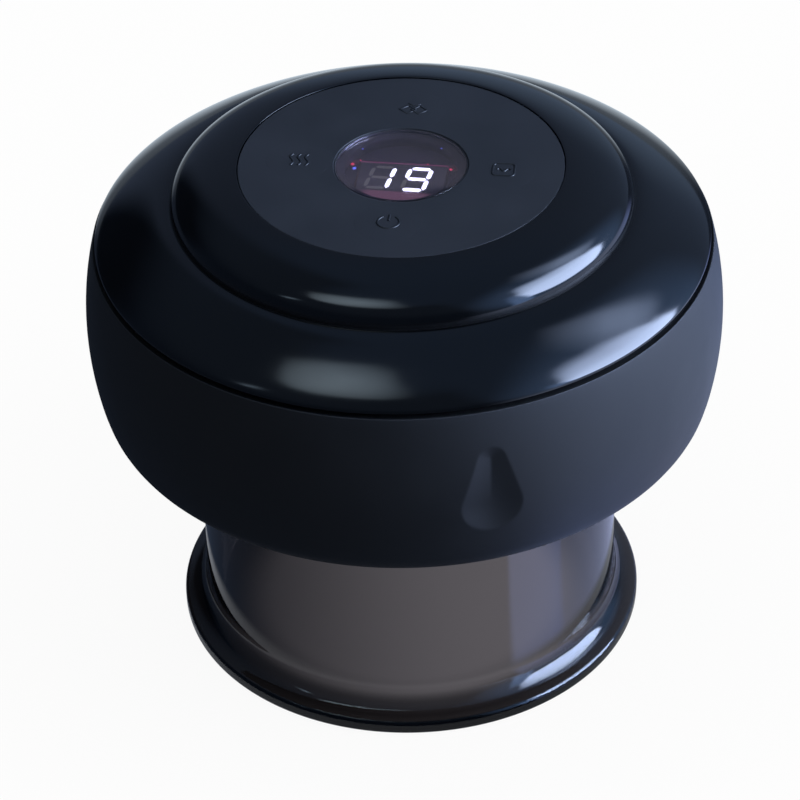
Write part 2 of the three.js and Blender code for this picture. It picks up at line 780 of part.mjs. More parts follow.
function addPump() {
  const pump = new THREE.Group();
  pump.position.set(pumpStart, pumpSide, pumpZ);
  pump.rotation.y = Math.PI / 2;
  model.add(pump);
  const bossRadius = shaftRadius + seatGap + motorBossWall;
  const bore = shaftRadius + seatGap;
  const boreZ = motorLength - shaftInsert - runGap;
  const can = rounded([
    [0, 0],
    [motorRadius, 0, motorBossWall],
    [motorRadius, motorLength],
    [bossRadius, motorLength],
    [bossRadius, motorLength + motorBoss],
    [bore, motorLength + motorBoss],
    [bore, boreZ],
    [0, boreZ],
  ]);
  piece("pump_motor", turned(can, smallSides), steel, pump);

  const shaftEnd = crankZ + crankThickness / 2;
  piece("motor_shaft", bar(shaftRadius, motorLength - shaftInsert, shaftEnd), steel, pump);
  const crankTop = crankZ + crankThickness;
  const disc = turned(
    [
      point(bore, crankZ),
      point(crankRadius, crankZ),
      point(crankRadius, crankTop),
      point(0, crankTop),
      point(0, shaftEnd + seatGap),
      point(bore, shaftEnd + seatGap),
    ],
    smallSides,
  );
  const pin = bar(crankPinRadius, crankTop - seatGap, wobbleZ - crankPinGap, tinySides);
  piece("pump_crank", join(disc, at(pin, crankOffset, 0, 0)), brass, pump);

  const square = rectangle(2 * motorRadius, 2 * motorRadius);
  const corner = motorRadius - screwRadius - overrun;
  const corners = [1, -1].flatMap((x) => [1, -1].map((y) => [x * corner, y * corner]));
  const cornerHoles = () => corners.map(([x, y]) => circle(screwRadius + seatGap, x, y));
  const chamberHoles = [circle(chamberBore, 0, 0, smallSides), ...cornerHoles()];
  const chamber = plate(square, chamberHoles, chamberStart, chamberStart + chamberLength);
  piece("crank_chamber", chamber, mattBlack, pump);

  const wobble = turned(
    [
      point(0, wobbleZ),
      point(wobbleSocket, wobbleZ),
      point(wobbleSocket, wobbleZ - wobbleSocketDepth),
      point(wobbleSocket + wobbleSocketWall, wobbleZ - wobbleSocketDepth),
      point(wobbleSocket + wobbleSocketWall, wobbleZ),
      point(wobbleRadius, wobbleZ),
      point(wobbleRadius, wobbleTop),
      point(0, wobbleTop),
    ],
    smallSides,
  );
  piece("wobble_plate", wobble, whitePlastic, pump);

  const sheet = plate(square, cornerHoles(), diaphragmStart, diaphragmStart + diaphragmThickness);
  const nub = bar(nubRadius, wobbleTop + seatGap, diaphragmStart + seatGap, tinySides);
  piece("pump_diaphragm", join(sheet, nub), blackRubber, pump);

  const nozzle = tube(barrelRadius, barrelBore, -overrun, barrelLength, tinySides);
  const inletZ = headStart + headLength / 2;
  const inlet = at(nozzle.clone().rotateX(-Math.PI / 2), pumpZ - airZ, motorRadius, inletZ);
  const outlet = at(nozzle.clone(), -motorRadius / 2, 0, headEnd);
  const head = plate(square, cornerHoles(), headStart, headEnd);
  piece("pump_head", join(head, inlet, outlet), mattBlack, pump);

  [corners[0], corners[3]].forEach(([x, y], i) => {
    const length = headEnd + seatGap - diaphragmStart + screwGrip;
    const made = at(screw(0, length).rotateX(Math.PI), x, y, headEnd + seatGap + screwHeadHeight);
    piece("pump_screw_" + (i + 1), made, steel, pump);
  });
}

// Strap over the motor: one leg stands in a slot of the tray, the other ends in a foot
function addStrap() {
  const footZ = trayTop + seatGap;
  const arc = (radius, from, to) =>
    Array.from({ length: smallSides / 2 + 1 }, (_, i) => {
      const angle = from + ((to - from) * i) / (smallSides / 2);
      return point(radius * Math.cos(angle), pumpZ + radius * Math.sin(angle));
    });
  const outline = [
    point(strapOuter, trayZ),
    ...arc(strapOuter, 0, Math.PI),
    point(-strapOuter, footZ + strapThickness),
    point(-strapOuter - strapFoot, footZ + strapThickness),
    point(-strapOuter - strapFoot, footZ),
    point(-strapInner, footZ),
    ...arc(strapInner, Math.PI, 0),
    point(strapInner, trayZ),
  ];
  const band = plate(outline, [], 0, strapWidth).rotateX(Math.PI / 2).rotateZ(Math.PI / 2);
  const placed = at(band, strapPlace - strapWidth / 2, pumpSide, 0);
  const hole = bar(screwHole, footZ - overrun, footZ + strapThickness + overrun, tinySides);
  piece("pump_strap", cut(placed, at(hole, strapPlace, strapScrewY, 0)), steel);
  const made = screw(0, strapThickness + trayThickness).rotateX(Math.PI);
  const headTop = footZ + strapThickness + seatGap + screwHeadHeight;
  piece("strap_screw", at(made, strapPlace, strapScrewY, headTop), steel);
}

// Release valve: seat block with a nozzle, coil frame, plug and spring
function addValve() {
  const square = () => rectangle(valveWidth, valveWidth);
  const seatZ = trayTop + runGap;
  const seatTop = airZ + barrelRadius + valveSeatCover;
  const noseEnd = -teeSize / 2 - barrelLength - runGap;
  const noseLength = noseEnd - valvePlace;
  const nose = alongX(bar(barrelRadius, 0, noseLength, tinySides));
  const way = alongX(bar(barrelBore, 0, noseLength + overrun, tinySides));
  const seatWay = bar(barrelBore, airZ, seatTop + overrun, tinySides);
  const seat = join(plate(square(), [], seatZ, seatTop), at(nose, 0, 0, airZ));
  piece("valve_seat_block", at(cut(seat, at(way, 0, 0, airZ), seatWay), valvePlace, 0, 0), whitePlastic);

  const frameZ = seatTop + seatGap;
  const plugZ = frameZ + seatGap;
  const springLength = 2 * springTurns * springWire + valveTravel + springSlack;
  const frameTop = boardZ - valveHeadroom;
  const ceiling = frameTop - valveCeiling;
  const plugLength = ceiling - 2 * seatGap - springLength - plugZ;
  const frame = cut(plate(square(), [], frameZ, frameTop), bar(valveBore, frameZ - overrun, ceiling));
  piece("valve_coil_frame", at(frame, valvePlace, 0, 0), brass);
  piece("valve_plug", at(bar(plugRadius, plugZ, plugZ + plugLength), valvePlace, 0, 0), steel);

  const low = plugZ + plugLength + seatGap + springWire;
  const high = ceiling - seatGap - springWire;
  const coil = Array.from({ length: springSteps + 1 }, (_, i) => {
    const angle = (2 * Math.PI * springTurns * i) / springSteps;
    const z = low + ((high - low) * i) / springSteps;
    return new THREE.Vector3(springRadius * Math.cos(angle), springRadius * Math.sin(angle), z);
  });
  const spring = new THREE.ExtrudeGeometry(new THREE.Shape(circle(springWire, 0, 0, 5)), {
    extrudePath: new THREE.CatmullRomCurve3(coil),
    steps: springSteps,
  });
  piece("valve_spring", at(spring, valvePlace, 0, 0), steel);
}

// Tee over the port, with the three silicone tubes
function addAirWay() {
  const side = teeSize / 2;
  const cube = block([-side, -side, airZ - side], [side, side, airZ + side]);
  const nippleTop = plateTop + nippleReach;
  const stub = bar(nippleRadius, nippleTop + seatGap, airZ);
  const arm = alongX(bar(barrelRadius, -side - barrelLength, side + barrelLength, tinySides));
  const armWay = alongX(bar(barrelBore, -teeSize - barrelLength, teeSize + barrelLength, tinySides));
  const stubWay = bar(nippleBore, nippleTop, airZ, tinySides);
  const tee = cut(join(cube, stub, at(arm, 0, 0, airZ)), at(armWay, 0, 0, airZ), stubWay);
  piece("tee_connector", tee, whitePlastic);

  const narrow = barrelRadius + sleeveFit;
  const wide = nippleRadius + sleeveFit;
  const sleeveTop = airZ - narrow - sleeveWall - seatGap;
  const sleeve = tube(wide + sleeveWall, wide, trayTop + seatGap, sleeveTop);
  piece("port_sleeve", sleeve, clearSilicone);

  const valveFace = valvePlace + valveWidth / 2 + seatGap;
  const valveTube = alongX(tube(narrow + sleeveWall, narrow, valveFace, -side - seatGap, tinySides));
  piece("valve_tube", at(valveTube, 0, 0, airZ), clearSilicone);

  const inletX = pumpStart + headStart + headLength / 2;
  const start = new THREE.Vector3(side + seatGap, 0, airZ);
  const bendStart = new THREE.Vector3(inletX - tubeBend, 0, airZ);
  const bendCorner = new THREE.Vector3(inletX, 0, airZ);
  const bendEnd = new THREE.Vector3(inletX, -tubeBend, airZ);
  const end = new THREE.Vector3(inletX, pumpSide + motorRadius + seatGap, airZ);
  const route = new THREE.CurvePath();
  route.add(new THREE.LineCurve3(start, bendStart));
  route.add(new THREE.QuadraticBezierCurve3(bendStart, bendCorner, bendEnd));
  route.add(new THREE.LineCurve3(bendEnd, end));
  const section = new THREE.Shape(circle(narrow + sleeveWall));
  section.holes.push(new THREE.Path(circle(narrow)));
  const bent = new THREE.ExtrudeGeometry(section, { extrudePath: route, steps: tubeSteps });
  piece("pump_tube", bent, clearSilicone);
}

// Rechargeable cell with a solder lug on each end
function addCell() {
  const cell = alongX(bar(cellRadius, -cellLength / 2, cellLength / 2));
  const reach = cellLength / 2 + lugThickness;
  const lugs = block([-reach, -lugWidth / 2, -lugWidth / 2], [reach, lugWidth / 2, lugWidth / 2]);
  piece("battery_cell", at(join(cell, lugs), 0, cellSide, cellZ), cellWrap);
}

// Charging board and socket in the housing's back
function addCharging() {
  const top = chargeBoardZ + boardThickness;
  const half = chargeBoardWidth / 2;
  const board = block([-half, chargeBoardBack, chargeBoardZ], [half, chargeBoardFront, top]);
  piece("charging_board", board, boardGreen);
  const shell = plate(socketOutline(0), [socketOutline(-socketWall)], 0, socketLength);
  const back = plate(socketOutline(0), [], 0, socketInset);
  const tongueSide = socketWidth / 2 - socketWall - 2 * runGap;
  const low = [-tongueSide, -tongueThickness / 2, 0];
  const tongue = block(low, [tongueSide, tongueThickness / 2, tongueLength]);
  const socket = join(shell, back, tongue).rotateX(-Math.PI / 2);
  piece("charging_socket", at(socket, 0, socketY - socketLength, socketZ), steel);
}

addCup();
addHousing();
addTopCover();
addPanel();
addKeys();
addControlBoard();
addSuctionPlate();
addChassis();
addPump();
addStrap();
addValve();
addAirWay();
addCell();
addCharging();

export default model;
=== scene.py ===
# An electric cupping massager: a glossy black suction head with a belly, standing on a smoky cup.
# Metres, +Z up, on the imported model's frame. mm is one millimetre, and bare sizes count in it.
import math

import bmesh
import bpy
import numpy as np
from mathutils import Matrix, Vector


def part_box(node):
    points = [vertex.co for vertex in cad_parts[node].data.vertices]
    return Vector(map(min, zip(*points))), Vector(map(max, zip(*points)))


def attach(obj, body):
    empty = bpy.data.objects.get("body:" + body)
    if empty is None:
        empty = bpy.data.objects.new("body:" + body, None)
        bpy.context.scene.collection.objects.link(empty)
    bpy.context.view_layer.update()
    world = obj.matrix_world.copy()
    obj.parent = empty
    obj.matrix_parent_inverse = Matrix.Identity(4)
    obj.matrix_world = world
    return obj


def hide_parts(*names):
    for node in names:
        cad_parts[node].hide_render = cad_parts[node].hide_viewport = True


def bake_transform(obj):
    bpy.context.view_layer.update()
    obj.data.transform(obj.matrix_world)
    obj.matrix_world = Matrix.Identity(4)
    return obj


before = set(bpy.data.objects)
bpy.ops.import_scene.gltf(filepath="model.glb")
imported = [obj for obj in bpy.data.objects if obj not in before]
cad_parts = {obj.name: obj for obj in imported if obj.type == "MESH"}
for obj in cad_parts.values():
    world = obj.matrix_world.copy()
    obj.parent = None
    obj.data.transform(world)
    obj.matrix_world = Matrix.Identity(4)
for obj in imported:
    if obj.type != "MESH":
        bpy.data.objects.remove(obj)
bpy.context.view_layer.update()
scene = bpy.context.scene
scene.view_settings.view_transform = "Standard"
mm = 0.001

# Camera: it looks down at the front of the massager through a long lens, half a metre away, and
# from a little to one side, so that the power key stands left of the middle.
lens_turn = math.radians(7.8)
lens_pitch, lens_roll, lens_pan = (math.radians(a) for a in (36.85, -1.49, -0.14))
lens_out, lens_up = 405.4 * mm, 338.3 * mm
ahead = Vector((
    math.sin(lens_pan) * math.cos(lens_pitch),
    math.cos(lens_pan) * math.cos(lens_pitch),
    -math.sin(lens_pitch),
))
level = ahead.cross(Vector((0, 0, 1))).normalized()
upright = level.cross(ahead)
across = math.cos(lens_roll) * level + math.sin(lens_roll) * upright
above = math.cos(lens_roll) * upright - math.sin(lens_roll) * level
camera = bpy.data.objects.new("camera", bpy.data.cameras.new("camera"))
camera.data.sensor_width = 36
camera.data.lens = 157.5
camera.data.clip_start = 0.02
camera.matrix_world = (
    Matrix.Rotation(lens_turn, 4, "Z")
    @ Matrix.Translation((0, -lens_out, lens_up))
    @ Matrix((across, above, -ahead)).transposed().to_4x4()
)
scene.collection.objects.link(camera)
scene.camera = camera


# Studio: a white floor under white light, and the softboxes that a glossy black cover mirrors.
# They show only in reflections and through clear parts, so matt colours keep their plain level.
def feed(target, value):
    """Gives an input a number, a colour, a socket, or a node's first output."""
    if isinstance(value, bpy.types.Node):
        value = value.outputs[0]
    if isinstance(value, bpy.types.NodeSocket):
        target.id_data.links.new(value, target)
    elif target.type == "RGBA" and len(value) == 3:
        target.default_value = (*value, 1)
    else:
        target.default_value = value


def add(tree, kind, sockets=None, **settings):
    """Adds a node, with its settings and what its inputs are fed."""
    made = tree.nodes.new(kind)
    for name, value in settings.items():
        setattr(made, name, value)
    for name, value in (sockets or {}).items():
        feed(made.inputs[name], value)
    return made


def reckon(operation, *values):
    """The result of one Math node, in the tree of the sockets among its values."""
    tree = next(v for v in values if isinstance(v, bpy.types.NodeSocket)).id_data
    return add(tree, "ShaderNodeMath", dict(enumerate(values)), operation=operation).outputs[0]


def plus(*values):
    """A sum."""
    return reckon("ADD", *values)


def times(*values):
    """A product."""
    return reckon("MULTIPLY", *values)


def span(value, low, high, first=0.0, last=1.0, bend="LINEAR"):
    """From first where a value is low to last where it is high, and no further."""
    return add(value.id_data, "ShaderNodeMapRange", {
        "Value": value, "From Min": low, "From Max": high, "To Min": first, "To Max": last,
    }, interpolation_type=bend).outputs[0]


def spread(value, low, high):
    """Smoothly from 0 at low to 1 at high."""
    return span(value, low, high, bend="SMOOTHSTEP")


def vector_sum(operation, *values):
    """The value that one Vector Math node gives."""
    tree = values[0].id_data
    made = add(tree, "ShaderNodeVectorMath", dict(enumerate(values)), operation=operation)
    return made.outputs["Value"]


def parts_of(place):
    """A place's X, Y and Z."""
    return add(place.id_data, "ShaderNodeSeparateXYZ", {0: place}).outputs


def bare_material(name):
    """A material with an empty tree and its output node."""
    made = bpy.data.materials.new(name)
    made.use_nodes = True
    made.node_tree.nodes.clear()
    return made, made.node_tree, add(made.node_tree, "ShaderNodeOutputMaterial")


def place_in(tree):
    """The place on the object."""
    return add(tree, "ShaderNodeTexCoord").outputs["Object"]


def blended(share, first, second):
    """A colour between two colours."""
    made = add(share.id_data, "ShaderNodeMix", {"Factor": share}, data_type="RGBA")
    for label, colour in (("A_Color", first), ("B_Color", second)):
        feed(next(s for s in made.inputs if s.identifier == label), colour)
    return next(s for s in made.outputs if s.identifier == "Result_Color")


def lit(tree, colour=(1, 1, 1), strength=1.0):
    """A shader that only gives off light."""
    return add(tree, "ShaderNodeEmission", {"Color": colour, "Strength": strength})


def mixed(share, first, second):
    """A shader between two shaders."""
    return add(first.id_data, "ShaderNodeMixShader", {0: share, 1: first, 2: second})


def mesh_object(name, corners, faces, finish=None):
    """An object at the origin with its place in its mesh; corners are in metres."""
    mesh = bpy.data.meshes.new(name)
    mesh.from_pydata([tuple(c) for c in corners], [], faces)
    mesh.update()
    made = bpy.data.objects.new(name, mesh)
    scene.collection.objects.link(made)
    if finish:
        mesh.materials.append(finish)
    return made


def along(place, azimuth, start=(0, 0)):
    """How far a place lies in a level direction, whose azimuth counts from the camera's side."""
    a = math.radians(azimuth)
    way = Matrix.Rotation(lens_turn, 3, "Z") @ Vector((math.sin(a), -math.cos(a), 0))
    offset = vector_sum("DOT_PRODUCT", place, way)
    return reckon("SUBTRACT", offset, (math.sin(a) * start[0] - math.cos(a) * start[1]) * mm)


floor_paint, tree, out = bare_material("studio_floor")
rays = add(tree, "ShaderNodeLightPath").outputs
place = place_in(tree)
away = vector_sum("LENGTH", place)


def bearing(azimuth, low, high):
    """Smoothly from 0 to 1 as a place's bearing turns towards an azimuth."""
    return spread(reckon("DIVIDE", along(place, azimuth), away), low, high)


# Glossy parts mirror a dark table, with a cool panel lying on it at the right and light behind.
panel_side = times(spread(along(place, 143, (13.7, -27)), 0, 3 * mm), bearing(45, -0.05, 0.2))
near_side = times(spread(along(place, 179, (21.3, -21.6)), 0, 3 * mm), spread(away, 0.14, 0.09))
further_right = times(bearing(76, 0.60, 0.92), spread(away, 0.075, 0.095))
behind = times(bearing(184, 0.80, 0.93), spread(away, 0.10, 0.15))
table = blended(panel_side, (0.04, 0.055, 0.09), (0.55, 0.72, 1.45))
for share, colour in (
    (times(panel_side, near_side), (0.55, 0.62, 0.95)),
    (further_right, (0.95, 1.16, 1.72)),
    (times(behind, span(away, 0.15, 0.6, 0.75, 0.18)), (1.0, 1.15, 1.3)),
    (spread(away, 0.0385, 0.0360), (0.32, 0.34, 0.38)),
):
    table = blended(share, table, colour)
mirrored = lit(tree, table)
# Under the cup, the white floor seen through the cup has a painted shade that is deeper to the left
# and at its rim, and a painted brightening to its right.
painted_lit_share = span(along(place, 90), -0.029, 0.022, 0.16, 1.22)
painted_rim_shade = times(spread(away, 0.0200, 0.0280), 0.78)
painted_cup_shade = times(painted_lit_share, reckon("SUBTRACT", 1.0, painted_rim_shade))
open_floor = spread(away, 0.036, 0.046)
through = plus(times(painted_cup_shade, reckon("SUBTRACT", 1.0, open_floor)), open_floor)
seen = lit(tree, strength=reckon("MAXIMUM", rays["Is Camera Ray"], through))
paint = add(tree, "ShaderNodeBsdfDiffuse", {"Color": (0.93, 0.93, 0.93)})
shown = mixed(rays["Is Camera Ray"], paint, mixed(0.92, paint, seen))
shown = mixed(rays["Is Glossy Ray"], shown, mirrored)
feed(out.inputs["Surface"], mixed(rays["Is Transmission Ray"], shown, seen))
floor_paint.cycles.emission_sampling = "NONE"
floor_reach, floor_level = 6.0, -0.02 * mm
floor = mesh_object("studio_floor", [
    (x * floor_reach, y * floor_reach, floor_level) for x, y in ((-1, -1), (1, -1), (1, 1), (-1, 1))
], [(0, 1, 2, 3)], floor_paint)

scene.world = world = bpy.data.worlds.new("studio")
world.use_nodes = True
sky = world.node_tree.nodes["Background"].inputs
sky["Color"].default_value, sky["Strength"].default_value = (1, 1, 1, 1), 0.78
world.cycles_visibility.glossy = False
world.cycles_visibility.camera = False


def towards(azimuth, elevation):
    """A direction, with azimuth counted from the camera's side to the right."""
    a, e = math.radians(azimuth), math.radians(elevation)
    direction = Vector((math.sin(a) * math.cos(e), -math.cos(a) * math.cos(e), math.sin(e)))
    return Matrix.Rotation(lens_turn, 3, "Z") @ direction


studio_middle = Vector((0, 0, 65 * mm))


def only_seen_by(thing, **kinds):
    """Shows a stage object to some kinds of rays alone, such as glossy ones."""
    for kind in ("camera", "diffuse", "glossy", "transmission", "volume_scatter", "shadow"):
        setattr(thing, "visible_" + kind, bool(kinds.get(kind)))


def softbox(name, rows, colour, strength, distance=1.6):
    """A lit panel through rows of (azimuth, elevation, share of its light), seen in reflections."""
    made, tree, out = bare_material(name)
    share = add(tree, "ShaderNodeAttribute", attribute_name="share").outputs["Fac"]
    clear = add(tree, "ShaderNodeBsdfTransparent")
    feed(out.inputs["Surface"],
         add(tree, "ShaderNodeAddShader", {0: lit(tree, colour, times(share, strength)), 1: clear}))
    wide = len(rows[0])
    corners = [studio_middle + towards(*d[:2]) * distance for row in rows for d in row]
    faces = [
        (i * wide + j, i * wide + j + 1, (i + 1) * wide + j + 1, (i + 1) * wide + j)
        for i in range(len(rows) - 1) for j in range(wide - 1)
    ]
    panel = mesh_object(name, corners, faces, made)
    shares = panel.data.attributes.new("share", "FLOAT", "POINT")
    shares.data.foreach_set("value", [d[2] for row in rows for d in row])
    only_seen_by(panel, glossy=True, transmission=True)


def upright_box(name, columns, soft, colour, strength, distance=1.6):
    """A softbox from columns (azimuth, low, high), which fades out over soft degrees."""
    first, last = columns[0], columns[-1]
    sides = [(first[0] - soft, *first[1:]), *columns, (last[0] + soft, *last[1:])]
    steps = ((0, -1, 0), (0.04, 0, 1), (0.35, 0, 1), (0.65, 0, 0.9), (0.92, 0, 0.5), (1, 1, 0))
    softbox(name, [
        [(az, low + (high - low) * up + out * soft, 0 if i in (0, len(sides) - 1) else share)
         for i, (az, low, high) in enumerate(sides)] for up, out, share in steps
    ], colour, strength, distance)


upright_box("softbox_right", [
    (61, 16, 40), (65, 13, 46), (70, 10, 52), (77, 8, 55), (84, 7, 54.5), (91, 6, 52), (97, 5, 49.5),
    (101, 9, 46), (105, 14, 41), (108, 21, 33),
], 3.0, (0.60, 0.74, 1.08), 18)
softbox("softbox_right_fold", [
    [(az, el, round(x * y, 3)) for az, x in
     ((92, 0), (98, 0.35), (103, 0.65), (108, 0.95), (113, 1), (117.5, 0.85), (121, 0.3), (124, 0))]
    for el, y in ((33, 0), (38, 0.7), (43, 1), (50, 1), (55, 0.6), (60, 0.35), (66, 0))
], (0.60, 0.74, 1.08), 3.7, 1.8)
upright_box("softbox_right_low", [(51, -4, 30), (54, -4, 41), (59, 0, 42)], 2.5,
            (0.32, 0.52, 1.0), 3.2, 1.7)
softbox("softbox_high_left", [
    [(az, low + (high - low) * up, round(x * y, 3)) for az, low, high, x in (
        (-98, 68, 76, 0), (-90, 67, 80, 0.4), (-82, 65, 84, 0.7), (-72, 62, 86, 0.8),
        (-62, 61, 86, 0.95), (-50, 62.5, 86, 1), (-38, 64.5, 86, 0.85), (-26, 66, 86, 0.7),
        (-14, 67, 84, 0.45), (-4, 68, 80, 0.2), (6, 69, 76, 0))]
    for up, y in ((-0.06, 0), (0.05, 0.7), (0.3, 1), (0.55, 1), (0.8, 0.55), (1, 0))
], (0.69, 0.86, 1.0), 3.1)
softbox("lamp_far_left", [
    [(az, el, x * y) for az, x in ((-70, 0), (-66, 1), (-62, 0))]
    for el, y in ((41, 0), (46, 1), (51, 0))
], (0.6, 0.8, 1.0), 3.0)

# The room round the softboxes: a dark wall with a sharp edge to the left, dim in front, paler at
# the back and right, with the haze of the right softbox round it.
room_paint, tree, out = bare_material("studio_room")
place = place_in(tree)
way = add(tree, "ShaderNodeVectorMath", {0: place}, operation="NORMALIZE").outputs[0]


def facing(direction):
    """How far the looked-at direction lies along another one, from -1 to 1."""
    return vector_sum("DOT_PRODUCT", way, direction)


def within(azimuth, elevation, outer, inner):
    """Smoothly from 0 at the outer angle from a direction to 1 at the inner angle."""
    return spread(facing(towards(azimuth, elevation)),
                  math.cos(math.radians(outer)), math.cos(math.radians(inner)))


height = facing((0, 0, 1))
wall = blended(within(-143, 12, 36, 14), (0.036, 0.056, 0.098), (0.006, 0.010, 0.018))
wall = blended(spread(height, 0.42, 0.78), wall, (0.078, 0.11, 0.17))
edge = times(spread(facing(towards(-60, 0)), -0.10, 0.045), spread(height, 0.985, 0.93))
far_left = spread(facing(towards(-120, 15)), 0.0, 0.6)
room = blended(far_left, (0.165, 0.23, 0.37), (0.105, 0.14, 0.22))
for share, colour in (
    (spread(height, 0.6, 0.95), (0.13, 0.20, 0.34)),
    (within(168, 2, 24, 8), (0.23, 0.32, 0.48)),
    (edge, wall),
    (within(-35, 5, 76, 52), wall),
    (within(84, 24, 48, 29), (0.42, 0.7, 1.3)),
):
    room = blended(share, room, colour)
feed(out.inputs["Surface"], lit(tree, room))


def ball_round(name, paint, radius, **kinds):
    """A stage object that closes the studio in, and is seen by some kinds of rays."""
    paint.cycles.emission_sampling = "NONE"
    bm = bmesh.new()
    bmesh.ops.create_icosphere(bm, subdivisions=3, radius=radius)
    ball = mesh_object(name, [], [], paint)
    bm.to_mesh(ball.data)
    bm.free()
    only_seen_by(ball, **kinds)


ball_round("studio_room", room_paint, 9, glossy=True)

# White backdrop behind everything, for the camera and for what is seen through the cup.
backdrop_paint, tree, out = bare_material("studio_backdrop")
feed(out.inputs["Surface"], lit(tree))
ball_round("studio_backdrop", backdrop_paint, 10, camera=True, transmission=True)

key = bpy.data.objects.new("key_light", bpy.data.lights.new("key_light", "AREA"))
key.data.shape = "DISK"
key.data.size = 0.9
key.data.energy = 5.0
key_side = towards(75, 42)
key.location = studio_middle + key_side * 1.4
key.rotation_euler = (-key_side).to_track_quat("-Z", "Y").to_euler()
key.visible_glossy = False
scene.collection.objects.link(key)


# Cup: a smoky polycarbonate tube with a flared foot, turned in at a rolled lip that stands on
# the skin. It is injection moulded, and pushed up into the housing's mouth until it seats.
def outline(corners, steps=8):
    """An outline's points (radius, height), from its corners (radius, height, round)."""
    points = []
    for i, corner in enumerate(corners):
        here = Vector(corner[:2])
        if len(corner) < 3:
            points.append(here)
            continue
        before = (Vector(corners[i - 1][:2]) - here).normalized()
        after = (Vector(corners[(i + 1) % len(corners)][:2]) - here).normalized()
        half = before.angle(after) / 2
        centre = here + (before + after).normalized() * corner[2] / math.sin(half)
        arm = corner[2] / math.tan(half)
        start, end = here + before * arm - centre, here + after * arm - centre
        turn = math.atan2(start.x * end.y - start.y * end.x, start.dot(end))
        for step in range(steps + 1):
            points.append(centre + Matrix.Rotation(turn * step / steps, 2) @ start)
    return points


def held(points):
    """Adds a point near each end of a long gap, which holds the shading of a round beside it."""
    result = []
    for i, here in enumerate(points):
        there, beyond = points[(i + 1) % len(points)], points[(i + 2) % len(points)]
        gap = (there - here).length
        before, after = (here - points[i - 1]).length, (beyond - there).length
        result.append(here)
        if 1e-9 < before < gap / 4:
            result.append(here.lerp(there, before / gap))
        if 1e-9 < after < gap / 4:
            result.append(there.lerp(here, after / gap))
    return result


def geometry_tree(name, **inputs):
    """A Geometry Nodes tree with named inputs, its input and output nodes."""
    tree = bpy.data.node_groups.new(name, "GeometryNodeTree")
    tree.interface.new_socket("Geometry", in_out="INPUT", socket_type="NodeSocketGeometry")
    for label, kind in inputs.items():
        tree.interface.new_socket(label, in_out="INPUT", socket_type="NodeSocket" + kind)
    tree.interface.new_socket("Geometry", in_out="OUTPUT", socket_type="NodeSocketGeometry")
    return tree, tree.nodes.new("NodeGroupInput").outputs, tree.nodes.new("NodeGroupOutput")


def real_form(tree, geometry, given, out):
    """Ends a tree: real geometry in the given material."""
    whole = add(tree, "GeometryNodeRealizeInstances", {"Geometry": geometry})
    dressed = add(tree, "GeometryNodeSetMaterial", {
        "Geometry": whole, "Material": given["Material"],
    })
    feed(out.inputs[0], dressed)


def grown(tree, name, corners, edges, faces, **inputs):
    """Runs a tree on a small mesh, in metres, and keeps the result as a plain mesh object."""
    mesh = corners
    if not isinstance(corners, bpy.types.Mesh):
        mesh = bpy.data.meshes.new(name)
        mesh.from_pydata([tuple(c) for c in corners], edges, faces)
    made = bpy.data.objects.new(name, mesh)
    scene.collection.objects.link(made)
    modifier = made.modifiers.new("shape", "NODES")
    modifier.node_group = tree
    for socket in tree.interface.items_tree:
        if socket.item_type == "SOCKET" and socket.in_out == "INPUT" and socket.name in inputs:
            modifier[socket.identifier] = inputs[socket.name]
    graph = bpy.context.evaluated_depsgraph_get()
    plain = bpy.data.meshes.new_from_object(
        made.evaluated_get(graph), preserve_all_data_layers=True, depsgraph=graph
    )
    made.modifiers.remove(modifier)
    made.data = plain
    plain.name = name
    return made


turned_form, given, out = geometry_tree("Turned form", Sides="Int", Material="Material")
rows = add(turned_form, "GeometryNodeAttributeDomainSize", {"Geometry": given["Geometry"]},
           component="MESH").outputs["Point Count"]
columns = plus(given["Sides"], 1)
sheet = add(turned_form, "GeometryNodeMeshGrid", {
    "Size X": 1, "Size Y": 1, "Vertices X": rows, "Vertices Y": columns,
})
number = add(turned_form, "GeometryNodeInputIndex").outputs[0]
row = reckon("FLOOR", reckon("DIVIDE", plus(number, 0.5), columns))
column = reckon("SUBTRACT", number, times(row, columns))
angle = times(reckon("DIVIDE", column, given["Sides"]), math.tau)
sample = add(turned_form, "GeometryNodeSampleIndex", {
    "Geometry": given["Geometry"], "Index": row,
}, data_type="FLOAT_VECTOR", domain="POINT")
feed(sample.inputs["Value"], add(turned_form, "GeometryNodeInputPosition"))
parts = parts_of(sample.outputs["Value"])
spot = add(turned_form, "ShaderNodeCombineXYZ", {
    "X": times(parts["X"], reckon("COSINE", angle)),
    "Y": times(parts["X"], reckon("SINE", angle)),
    "Z": parts["Z"],
})
moved = add(turned_form, "GeometryNodeSetPosition", {"Geometry": sheet, "Position": spot})
closed = add(turned_form, "GeometryNodeMergeByDistance", {
    "Geometry": moved, "Distance": 0.0002 * mm,
})
smooth = add(turned_form, "GeometryNodeSetShadeSmooth", {"Geometry": closed})
real_form(turned_form, smooth, given, out)


def turned(name, points, finish, sides=192, x=0.0, y=0.0):
    """A form turned round an upright axis from its outline, in millimetres."""
    points = [Vector(p[:2]) for p in points]
    if points[0].x > 1e-6 or points[-1].x > 1e-6:
        points.append(points[0].copy())
    area = sum(a.x * b.y - b.x * a.y for a, b in zip(points, points[1:] + points[:1]))
    if area > 0:
        points.reverse()
    corners = [(p.x * mm, 0, p.y * mm) for p in points]
    edges = [(i, i + 1) for i in range(len(corners) - 1)]
    made = grown(turned_form, name, corners, edges, [], Sides=sides, Material=finish)
    if x or y:
        made.data.transform(Matrix.Translation((x * mm, y * mm, 0)))
    return made


def placed(piece, body, slot, *nodes):
    """Hides the CAD solids that a finished piece stands for, and hands the piece to its body. The
    slot is not used.
    """
    if nodes:
        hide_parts(*nodes)
    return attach(piece, body)


